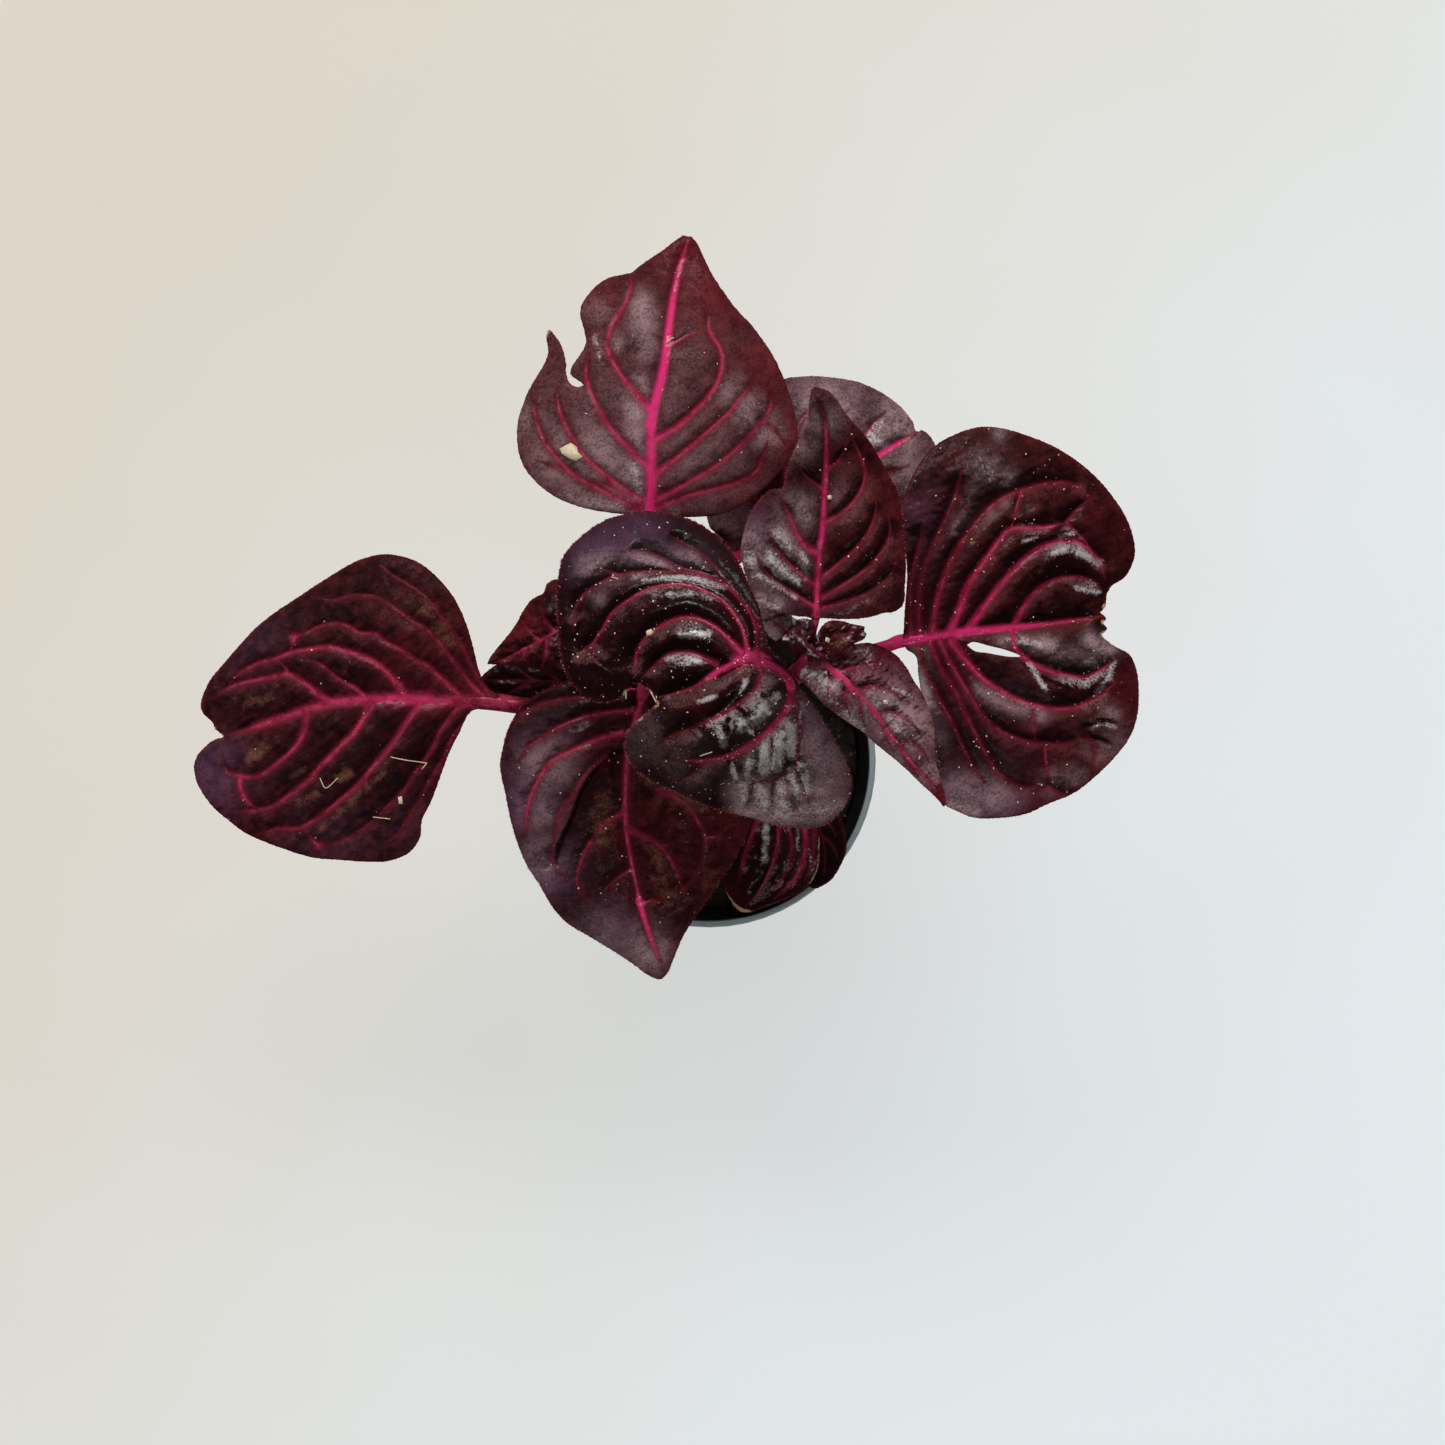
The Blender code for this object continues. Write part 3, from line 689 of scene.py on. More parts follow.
def ragged_margin(runs, grain, ragged, seed):
    """The blade's outline through its runs of places, each point moved out or in at random."""
    parts = []
    corner = runs[-1][-1]
    for run in runs:
        parts.append(smooth_line([corner] + run, grain)[:-1])
        corner = run[-1]
    loop = np.concatenate(parts)
    turn = np.roll(loop, -1, axis=0) - np.roll(loop, 1, axis=0)
    outward = np.column_stack([turn[:, 1], -turn[:, 0]]) / np.hypot(*turn.T)[:, None]
    return loop + outward * ragged * np.random.default_rng(seed).uniform(-1, 1, (len(loop), 1))


def blade_net(rims, lines, grain):
    """Places spread evenly over the blade, with some on every vein, and the triangles on them."""
    low, high = rims[0].min(0), rims[0].max(0)
    rows = np.arange(low[1], high[1], grain * ROW_STEP)
    columns = np.arange(low[0], high[0], grain)
    spread = np.array([(x + (k % 2) * grain / 2, y) for k, y in enumerate(rows) for x in columns])
    on_veins = np.concatenate(lines)
    spread = spread[on_blade(spread, rims)]
    on_veins = on_veins[on_blade(on_veins, rims)]
    for rim in rims:
        closed = np.concatenate([rim, rim[:1]])
        spread = spread[nearest(spread, closed)[0] > RIM_CLEARANCE * grain]
        on_veins = on_veins[nearest(on_veins, closed)[0] > RIM_CLEARANCE * grain]
    for line in lines:
        spread = spread[nearest(spread, line)[0] > VEIN_CLEARANCE * grain]
    places = np.concatenate(rims + [spread, on_veins])
    edges = []
    start = 0
    for rim in rims:
        edges += [(start + k, start + (k + 1) % len(rim)) for k in range(len(rim))]
        start += len(rim)
    corners = [Vector((x, -y)) for x, y in places]
    found = delaunay_2d_cdt(corners, edges, [list(range(len(rims[0])))], 1, 1e-5, False)
    net = np.array([(vert[0], -vert[1]) for vert in found[0]])
    triangles = np.array(found[2])
    triangles = triangles[on_blade(net[triangles].mean(1), rims)]
    one, two, three = (net[triangles[:, k]] for k in range(3))
    first, second = (two - one).T, (three - one).T
    wrong = first[0] * second[1] - first[1] * second[0] > 0
    triangles[wrong] = triangles[wrong][:, ::-1]
    used = np.unique(triangles)
    renumber = np.zeros(len(net), int)
    renumber[used] = np.arange(len(used))
    return net[used], renumber[triangles]


def rim_edges(triangles):
    """The edges that belong to one triangle only, each in the direction that its triangle runs."""
    edges = np.concatenate([triangles[:, [0, 1]], triangles[:, [1, 2]], triangles[:, [2, 0]]])
    ordered = np.sort(edges, axis=1)
    _, first, count = np.unique(ordered, axis=0, return_index=True, return_counts=True)
    return edges[first[count == 1]]


def facing(points, triangles):
    """How far each point's face looks towards the light, which the painted light and shade follow."""
    one, two, three = (points[triangles[:, k]] for k in range(3))
    slopes = np.cross(two - one, three - one)
    total = np.zeros_like(points)
    for k in range(3):
        np.add.at(total, triangles[:, k], slopes)
    return total[:, :2] @ LIGHT_SIDE / np.linalg.norm(total, axis=1)


def ribbing(places, ribs, pillow):
    """What the ribs do at these places: how far they draw the blade down (0 to 1), the nearest
    one's distance in its own widths, their glow, and how thick they stand out below."""
    crowd = np.zeros(len(places))
    vein = np.full(len(places), 99.0)
    glow = np.full(len(places), 1e-9)
    pulls = np.full(len(places), 1e-9)
    ribbed = np.zeros(len(places))
    for index, (width, shine, line) in enumerate(ribs):
        gap, along, _ = nearest(places, line[::2] if len(line) > 8 else line)
        if index == 0:
            wide = width * (1 - MIDRIB_TAPER * along)
        else:
            wide = width * (1 - VEIN_TAPER * along + VEIN_FLARE * np.exp(-VEIN_FLARE_FADE * along))
            wide += VEIN_LEAST
        length = np.hypot(*np.diff(line, axis=0).T).sum()
        fading = np.clip((1 - along) * length / VEIN_RUN_OUT, 0, 1)
        fading = fading * fading * (3 - 2 * fading)
        wide = wide * (VEIN_END_SHARE + (1 - VEIN_END_SHARE) * fading)
        weight = (1.0 if index == 0 else 0.92 - 0.45 * along) * fading ** (pillow / CROWD)
        crowd += weight * np.exp(-(np.sqrt(gap ** 2 + 0.6) - 0.77) / CROWD)
        vein = np.minimum(vein, gap / wide)
        lively = shine * (1 - 0.45 * along) * (0.4 + 0.6 * fading)
        pull = np.exp(-2.2 * gap / wide) * (lively + 0.02)
        glow += pull * lively
        pulls += pull
        ribbed = np.maximum(ribbed, np.exp(-(gap / wide) ** 2) * wide / 8)
    away = np.maximum(-CROWD * np.log(np.maximum(crowd, 1e-9)), 0)
    return np.exp(-away / pillow), vein, glow / pulls, ribbed


def creased(heights, places, grooves, folds):
    """The heights at these places, with the grooves pressed in and the folds lifted."""
    for deep, wide, route in grooves:
        gap, along, _ = nearest(places, smooth_line(route, CREASE_STEP))
        fade = np.clip(6 * np.minimum(along, 1 - along) + 0.15, 0, 1)
        heights = heights - deep * np.exp(-(gap / wide) ** 2) * fade
    for rise, reach, route in folds:
        gap, along, hand = nearest(places, smooth_line(route, CREASE_STEP))
        fade = np.clip(5 * np.minimum(along, 1 - along), 0, 1)
        lift = 0.5 + 0.5 * np.tanh(hand * gap / FOLD_STEP)
        heights = heights + rise * fade * np.exp(-gap / reach) * lift
    return heights


def stalk_tube(stem, node, radius, stalk, rib_places, rib_heights, glow_below, glow_on):
    """The stalk from its stem on under the midrib: its points, its faces and each point's glow."""
    line = stem_lines[stem]
    start = line[np.abs(line[:, 2] - node).argmin()]
    stalk = np.array(stalk, float)
    passes = in_space(stalk[:, :2], stalk[:, 2])
    away = passes[0] - start
    if node < line[-1][2]:
        away[2] = STALK_RISE * np.linalg.norm(away[:2])
    away /= np.linalg.norm(away)
    share = np.linspace(0, 1, len(rib_places))
    rib_radii = radius * (1 - share) ** 0.8 * 0.9 + RIB_TIP_RADIUS
    rib_line = in_space(rib_places, rib_heights - rib_radii * (0.75 + 0.35 * np.minimum(share * 3, 1)))
    path = np.concatenate([[start], [start + away * (STEM_RADII[stem][1] + radius)], passes, rib_line])
    route = smooth_line(path, STALK_STEP)
    reach = np.concatenate([[0], np.cumsum(np.linalg.norm(np.diff(path, axis=0), axis=1))])
    stations = np.linspace(0, reach[-1], len(route))
    path_radii = np.concatenate([[radius * STALK_FOOT] * (1 + len(passes)), [radius], rib_radii])
    points, faces = tube(route, np.interp(stations, reach, path_radii), STALK_SIDES)
    joined = reach[1 + len(passes)]
    glow = np.interp(stations, [joined, joined + STALK_BLUSH_REACH], [glow_below, glow_on])
    glow = np.repeat(glow, STALK_SIDES)
    return points, faces, np.concatenate([glow[:1], glow, glow[-1:]])


def grow_leaf(name, stem, node, stalk_radius, stalk, margin, knots, midrib, veins, depth=0.8, pillow=9.0,
              unevenness=0.05, grooves=(), folds=(), holes=(), curl=0.3, grain=GRAIN, ragged=0.3,
              stalk_glow=0.8, **marks):
    """A leaf as one piece: its quilted blade, and its stalk from the stem on under the midrib.

    margin holds runs of places from the base round to it again. Each run starts at the corner
    where the last one ends. A vein is (width, glow, places), a groove (depth, width, places), a
    fold (rise, reach, places) with its left hand lifted. A mark, such as red, is a list of
    streaks, and red_all tints the whole blade. Some marks paint light: the pale ones are painted
    highlights, grey is painted sheen over a grey tint, purple is a plum tint partly painted as
    sheen, and dark deepens the black, partly as painted shade. Widths and places are in pixels
    of the plan view.
    """
    rims = [ragged_margin(margin, grain, ragged, len(name))]
    rims += [smooth_line(run, grain)[:-1] for run in holes]
    ribs = [(width, glow, smooth_line(places, grain)) for width, glow, places in [midrib, *veins]]
    lines = [line for _, _, line in ribs]
    places, triangles = blade_net(rims, lines, grain)
    base_height = surface_through(knots)

    def quilted(places, sink):
        bumps = sum(share * ripple(places, wave, len(name) + k)
                    for k, (wave, share) in enumerate(BLADE_WAVES))
        return creased(base_height(places) - depth * sink + unevenness * bumps, places, grooves, folds)

    sink, vein, glow, ribbed = ribbing(places, ribs, pillow)
    edge = np.min([nearest(places, np.concatenate([rim, rim[:1]])[::2])[0] for rim in rims], axis=0)
    top = in_space(places, quilted(places, sink) - curl * np.exp(-edge / EDGE_CURL_REACH))
    inward = np.clip(edge / BLADE_THINNING_REACH, 0, 1)
    thick = BLADE_THICKNESS * (1 - BLADE_THINNING + BLADE_THINNING * inward) + RIB_DEPTH * ribbed
    below = top - np.column_stack([np.zeros((len(top), 2)), thick])
    count = len(top)
    walls = [(b, a, a + count, b + count) for a, b in rim_edges(triangles)]
    faces = triangles.tolist() + (triangles[:, ::-1] + count).tolist() + walls
    # Which slopes of each cushion face the light; painted shade, light and highlights follow it.
    cushion = facing(top, triangles) - facing(in_space(places, base_height(places)), triangles)
    paint = {"vein": vein, "glow": glow, "edge": edge, "flank": np.clip(0.5 + 0.7 * cushion, 0, 1)}
    marks = {"gloss_all": BLADE_GLOSS, **marks}
    for title in BLADE_MARKS:
        paint[title] = np.maximum(spotted(places, marks.get(title, ())), marks.get(title + "_all", 0.0))
    leaf = Shape(*BLADE_NUMBERS)
    leaf.add(np.concatenate([top, below]), faces, under=np.repeat([0.0, 1.0], count),
             **{title: np.tile(values, 2) for title, values in paint.items()})
    rib_places = lines[0][:: max(int(len(lines[0]) / RIB_STATIONS), 1)]
    rib_places = rib_places[: int(len(rib_places) * RIB_SHARE)]
    rib_heights = quilted(rib_places, ribbing(rib_places, ribs, pillow)[0])
    points, faces, glow = stalk_tube(stem, node, stalk_radius, stalk, rib_places, rib_heights, stalk_glow,
                                     midrib[1])
    leaf.add(points, faces, glow=glow, edge=9.0, gloss=BLADE_GLOSS)
    leaves[name] = leaf.piece(name + "_blade", blade, "leaf", name)


leaves = {}
blade = Finish("leaf_blade")
at = {title: blade.attribute(title) for title in BLADE_NUMBERS}
leaf_places = blade.places()
fine = blade.noise(leaf_places, 2600.0, 3.0, 0.65)
mottle = blade.noise(leaf_places, 520.0, 5.0, 0.62)
clouds = blade.noise(leaf_places, 170.0, 3.0, 0.5)
fleck = fine - 0.5
patch = mottle - 0.5
drift = clouds - 0.5
wobble = at["vein"] + (patch * 1.3 + fleck * 1.5) * (1 - blade.ramp(at["glow"], 0.55, 1.0) * 0.6)
core = blade.ramp(wobble, 1.25, 0.1)
thread = blade.ramp(wobble, 0.75, 0.0) * blade.ramp(mottle + drift * 0.6, 0.36, 0.60)
halo = blade.ramp(wobble, 3.2, 0.5) * (at["glow"] * 0.8 + 0.14) * (1 - at["dark"] * 0.5)
blotch = blade.ramp(mottle * 0.35 + fine * 0.6 + drift * 0.7 + 0.025, 0.28, 0.70)
# Painted light: lit brightens the slopes of the cushions that face the light.
lit = blade.ramp(at["flank"] + fleck * 0.35 + patch * 0.25, 0.55, 0.85)
# Painted highlights: hump and crest pick out those slopes, crest broken into grains.
hump = blade.ramp(at["flank"], 0.57, 0.76)
crest = hump * blade.ramp(fine * 0.6 + mottle * 0.4 + hump * 0.10, 0.50, 0.66)
rim = blade.ramp(at["edge"], 4.5, 0.5)
web = blade.ramp(blade.cells(leaf_places, 330.0, "DISTANCE_TO_EDGE"), 0.10, 0.0)
tint = blade.ramp(mottle * 0.6 + clouds * 0.4, 0.38, 0.66) * (1 - at["dark"])
# Painted sheen over a grey tint: the grey marks, mottled, kept off the veins, brighter on slopes facing
# the light.
grey_sheen = at["grey"] * (blotch * 0.75 + 0.39) * (blade.ramp(at["vein"], 0.6, 3.0) * 0.6 + 0.4)
rusty = blade.ramp(at["brown"] + fleck * 0.7 + patch * 0.9, 0.25, 1.0)
# Painted highlights: the pale streaks, broken by noise and strongest on slopes that face the light.
highlight_share = blade.ramp(at["pale"] + fleck * 1.5 + patch * 1.3, 0.40, 1.15)
highlight_share = highlight_share * (blade.ramp(at["flank"], 0.38, 0.54) * 0.75 + 0.25)
grit = blade.ramp(fine * 0.65 + mottle * 0.35, 0.55, 0.38)
dried = blade.ramp(at["dry"] + fleck * 0.8 - at["edge"] * 0.12, 0.25, 0.55)
lively = at["glow"] + fleck * 0.5 + patch * 0.5
vein_colour = blade.blend(blade.ramp(lively, 0.06, 0.60), VEIN_DARK, VEIN_RED)
vein_colour = blade.blend(thread * blade.ramp(lively, 0.12, 0.50), vein_colour, VEIN_ROSE)
vein_colour = blade.blend(blade.ramp(lively, 0.52, 0.95), vein_colour, VEIN_HOT)
# Each colour is laid over the ones before it, by its share.
blade_colour = BLADE_BLACK
for share, colour in (
    (tint, BLADE_BROWN),
    (at["red"] * (blotch * 0.3 + 0.7), BLADE_WINE),
    # The purple marks: the leaves' plum tint, partly painted sheen.
    (at["purple"] * (tint * 0.4 + 0.6), BLADE_PLUM),
    # Redder margins: partly their own colour, partly painted light shining through the thin edge.
    (rim * 0.35, BLADE_WINE),
    (web * mottle * (1 - at["dark"]) * 0.35 + halo, VEIN_DARK),
    # Painted sheen over a grey tint.
    (grey_sheen * (at["flank"] * 0.8 + 0.4), BLADE_SHEEN_GREY),
    (rusty, BLADE_RUST),
    # Painted shade on slopes that face away from the light, then painted light on those facing it.
    (blade.ramp(at["flank"], 0.50, 0.20) * 0.85, BLADE_SHADE_AND_GRAIN),
    (lit * 0.35, BLADE_LIT),
    # Painted highlights: the pale streaks and the crests.
    ((highlight_share * 0.8).do("MAXIMUM", crest * (at["gloss"] - 0.15) * 0.75), BLADE_HIGHLIGHT),
    # The same dark colour again, as dark grain at random.
    (grit * 0.34, BLADE_SHADE_AND_GRAIN),
    (core * (at["glow"] * 0.3 + 0.65), vein_colour),
    (dried, BLADE_DRY),
    (at["under"], blade.blend(core, BLADE_UNDER, VEIN_UNDER)),
):
    blade_colour = blade.blend(share, blade_colour, colour)
blade.set(Base_Color=blade_colour, Roughness=0.60 - at["gloss"] * 0.22 + patch * 0.24)
glint = blade.ramp(fine * 0.7 + mottle * 0.3, 0.42, 0.60)
shine = at["gloss"] * (hump * 0.6 + 0.55) + core * at["glow"] * 0.35
blade.set(Coat_Weight=shine * (glint * 0.85 + 0.15) * (1 - at["under"]), Specular_IOR_Level=0.03)
blade.set(Coat_Roughness=0.17, Coat_IOR=1.65)
grain_height = fine * 0.6 + blade.cells(leaf_places, 3300.0) * 0.4
blade.set(Normal=blade.bump(grain_height, 0.6, 0.11 * MM))

grow_leaf(
    "leaf_centre", "main", 104.5, 1.1, [(788, 686, 107.2), (775, 678, 109.6), (763, 668, 111.0)],
    margin=[
        [(765, 635), (762, 616), (756, 599), (746, 577), (734, 555), (719, 538), (700, 524), (676, 515),
         (649, 511), (625, 514), (601, 522), (579, 538), (564, 555), (559, 572), (557, 594), (557, 621),
         (559, 645), (564, 669), (574, 686), (586, 698), (603, 702), (620, 698), (627, 691)],
        [(634, 684), (641, 684), (648, 689)], [(654, 696), (657, 704)],
        [(648, 712), (638, 720), (627, 731)],
        [(625, 742), (626, 754), (637, 771), (656, 783), (678, 793), (705, 805), (731, 813), (756, 819),
         (782, 827), (807, 828), (826, 824), (840, 812), (849, 795), (851, 776), (845, 759), (833, 737),
         (819, 713), (804, 693), (794, 676), (787, 667), (777, 657), (766, 645)],
    ],
    knots=[
        (751, 657, 116), (719, 671, 115), (695, 686, 113), (654, 696, 108), (641, 688, 105.5),
        (787, 667, 112), (819, 713, 106.5), (845, 759, 102), (851, 776, 100), (840, 812, 97),
        (807, 828, 96), (756, 819, 96), (705, 805, 97), (656, 783, 98), (626, 754, 100), (632, 725, 103),
        (764, 638, 115), (762, 616, 113), (746, 577, 109), (719, 538, 105), (676, 515, 102),
        (649, 511, 101.5), (601, 522, 99.5), (564, 555, 98), (557, 594, 98), (559, 645, 99),
        (574, 686, 101), (603, 702, 102), (626, 692, 104), (690, 600, 113.0), (640, 600, 109.5),
        (655, 645, 111.5), (725, 612, 113.8), (610, 560, 104), (745, 745, 110.5), (790, 735, 107.5),
        (690, 745, 107), (800, 790, 101.5), (740, 700, 114), (600, 650, 105),
    ],
    midrib=(3.6, 0.62, [(751, 657), (734, 664), (719, 671), (695, 686), (676, 693), (654, 698)]),
    veins=[
        (2.4, 0.45, [(716, 663), (705, 658), (692, 653), (679, 652.5), (666, 656), (653, 667),
                     (640, 680)]),
        (2.6, 0.60, [(741, 652), (729, 639), (714, 626), (696, 618), (679, 618), (664, 624), (648, 635),
                     (637, 652), (635, 678)]),
        (2.4, 0.50, [(748, 652), (745, 640), (740, 624), (726, 604), (709, 593), (690, 586), (670, 584.6),
                     (648, 589), (627, 601), (612, 613), (604, 627), (594, 643), (593, 662)]),
        (2.0, 0.32, [(755, 654), (757, 640), (752, 617), (736, 595), (720, 582), (700, 575), (670, 572),
                     (635, 572), (618, 575), (601, 582), (583, 595), (575, 610), (573, 632)]),
        (1.6, 0.22, [(720, 581), (700, 573), (682, 568), (664, 559), (648, 552), (635, 550), (620, 552)]),
        (1.8, 0.20, [(757, 650), (757, 622), (740, 598), (727, 582), (713, 565), (696, 550), (679, 541),
                     (661, 530)]),
        (1.6, 0.30, [(618, 575), (606, 570), (594, 571)]),
        (1.6, 0.30, [(594, 643), (582, 652), (577, 668)]),
        (2.4, 0.60, [(753, 660), (759, 667), (760, 676), (755, 689), (735, 706), (714, 719), (692, 729)]),
        (3.8, 0.86, [(758, 659), (770, 665), (781, 672), (791, 685), (787, 708), (770, 730), (746, 747),
                     (729, 756), (705, 761), (679, 760)]),
        (2.0, 0.26, [(790, 690), (799, 722), (798, 749), (794, 768), (775, 779), (753, 783)]),
        (0.6, 0.12, [(794, 768), (803, 785), (809, 805)]),
        (0.6, 0.10, [(775, 779), (772, 792), (772, 806)]),
        (0.6, 0.10, [(753, 783), (750, 795), (746, 806)]),
        (1.0, 0.20, [(705, 761), (690, 775), (676, 783)]),
        (1.6, 0.35, [(692, 729), (672, 735), (655, 745)]),
        (7.0, 1.3, [(738, 661), (752, 657), (762, 655), (772, 659)]),
        (3.9, 1.45, [(748, 658), (734, 664), (719, 671), (704, 680), (692, 687)]),
    ],
    depth=2.3, pillow=12.0, unevenness=0.03, gloss_all=0.22, dark_all=0.8, ragged=0.7, grain=1.4,
    grooves=[
        (1.3, 2.2, [(717, 680), (725, 674), (734, 668), (741, 665)]),
        (0.9, 3.0, [(752, 783), (750, 798), (748, 812)]),
        (0.9, 3.0, [(772, 785), (773, 800), (773, 818)]),
        (1.0, 3.2, [(786, 778), (792, 795), (796, 815)]),
        (0.9, 3.0, [(802, 768), (809, 785), (813, 805)]),
        (0.9, 2.2, [(728, 718), (730, 732), (736, 748)]),
        (0.9, 2.2, [(737, 706), (745, 718), (753, 734)]),
        (0.8, 2.0, [(762, 694), (767, 704), (771, 714)]),
        (0.9, 2.0, [(772, 740), (771, 755), (770, 770)]),
        (0.8, 2.0, [(785, 738), (784, 752), (781, 764)]),
        (0.8, 2.0, [(758, 752), (757, 762), (754, 772)]),
        (0.8, 2.2, [(728, 760), (733, 772), (735, 785)]),
    ],
    folds=[(0.9, 9.0, [(752, 668), (744, 687), (729, 706), (714, 717), (694, 726)])],
    dark=[(690, 610, 50, 1.0), (680, 665, 40, 1.0), (740, 700, 44, 1.0)],
    red=[(848, 770, 840, 812, 14, 0.5), (700, 700, 20, 0.3)],
    purple=[(595, 556, 640, 540, 30, 0.85), (660, 552, 700, 568, 16, 0.7), (812, 715, 830, 760, 22, 0.9),
            (825, 795, 24, 0.8), (775, 640, 790, 665, 9, 0.9)],
    # Painted highlights on the rolls under the upper veins and on the lower lobe.
    pale=[(718, 728, 724, 743, 6, 1.1), (739, 720, 743, 730, 5, 0.85), (746, 722, 751, 732, 6, 1.0),
          (752, 724, 768, 705, 9, 1.1), (768, 708, 777, 696, 6, 1.05), (791, 728, 792, 754, 8, 1.1),
          (781, 736, 776, 766, 9, 1.1), (766, 746, 763, 769, 8, 1.1), (751, 762, 747, 776, 7, 1.0),
          (742, 785, 745, 799, 7, 0.95), (756, 790, 764, 806, 11, 0.85), (779, 783, 784, 806, 9, 0.85),
          (791, 770, 797, 794, 7, 0.95), (801, 766, 808, 792, 7, 0.95), (746, 681, 740, 694, 5, 0.85),
          (699, 702, 716, 696, 4, 1.0), (800, 712, 799, 730, 3, 0.8), (732, 764, 735, 778, 4, 0.9),
          (760, 812, 830, 812, 9, 0.55), (644, 581, 684, 577, 724, 587, 5, 0.95),
          (668, 594, 690, 593, 716, 598, 6, 0.85), (682, 634, 708, 634, 6, 1.0),
          (668, 658, 698, 659, 6, 0.95)],
    brown=[(668, 735, 690, 728, 8, 0.5), (600, 600, 580, 640, 12, 0.35), (690, 750, 660, 765, 10, 0.4)],
    grey=[(690, 765, 24, 0.25), (650, 740, 24, 0.25), (745, 812, 800, 814, 842, 810, 15, 1.0),
          (745, 792, 800, 790, 16, 0.8), (820, 790, 16, 0.7), (760, 750, 790, 715, 20, 0.35),
          (590, 566, 625, 563, 690, 562, 12, 0.8), (815, 740, 830, 780, 22, 0.5), (625, 568, 10, 0.5),
          (755, 690, 765, 680, 8, 0.6), (600, 600, 8, 0.5)],
    gloss=[(640, 582, 724, 582, 12, 1.0), (660, 597, 720, 597, 10, 1.0), (690, 636, 14, 1.0),
           (682, 660, 14, 1.0), (720, 725, 26, 1.0), (770, 710, 30, 1.0), (792, 740, 16, 1.0),
           (775, 795, 20, 0.4)],
    dry=[(626, 693, 5, 0.9), (650, 692, 4, 0.8), (657, 704, 5, 0.9), (640, 719, 5, 0.7)],
    curl=0.5,
)
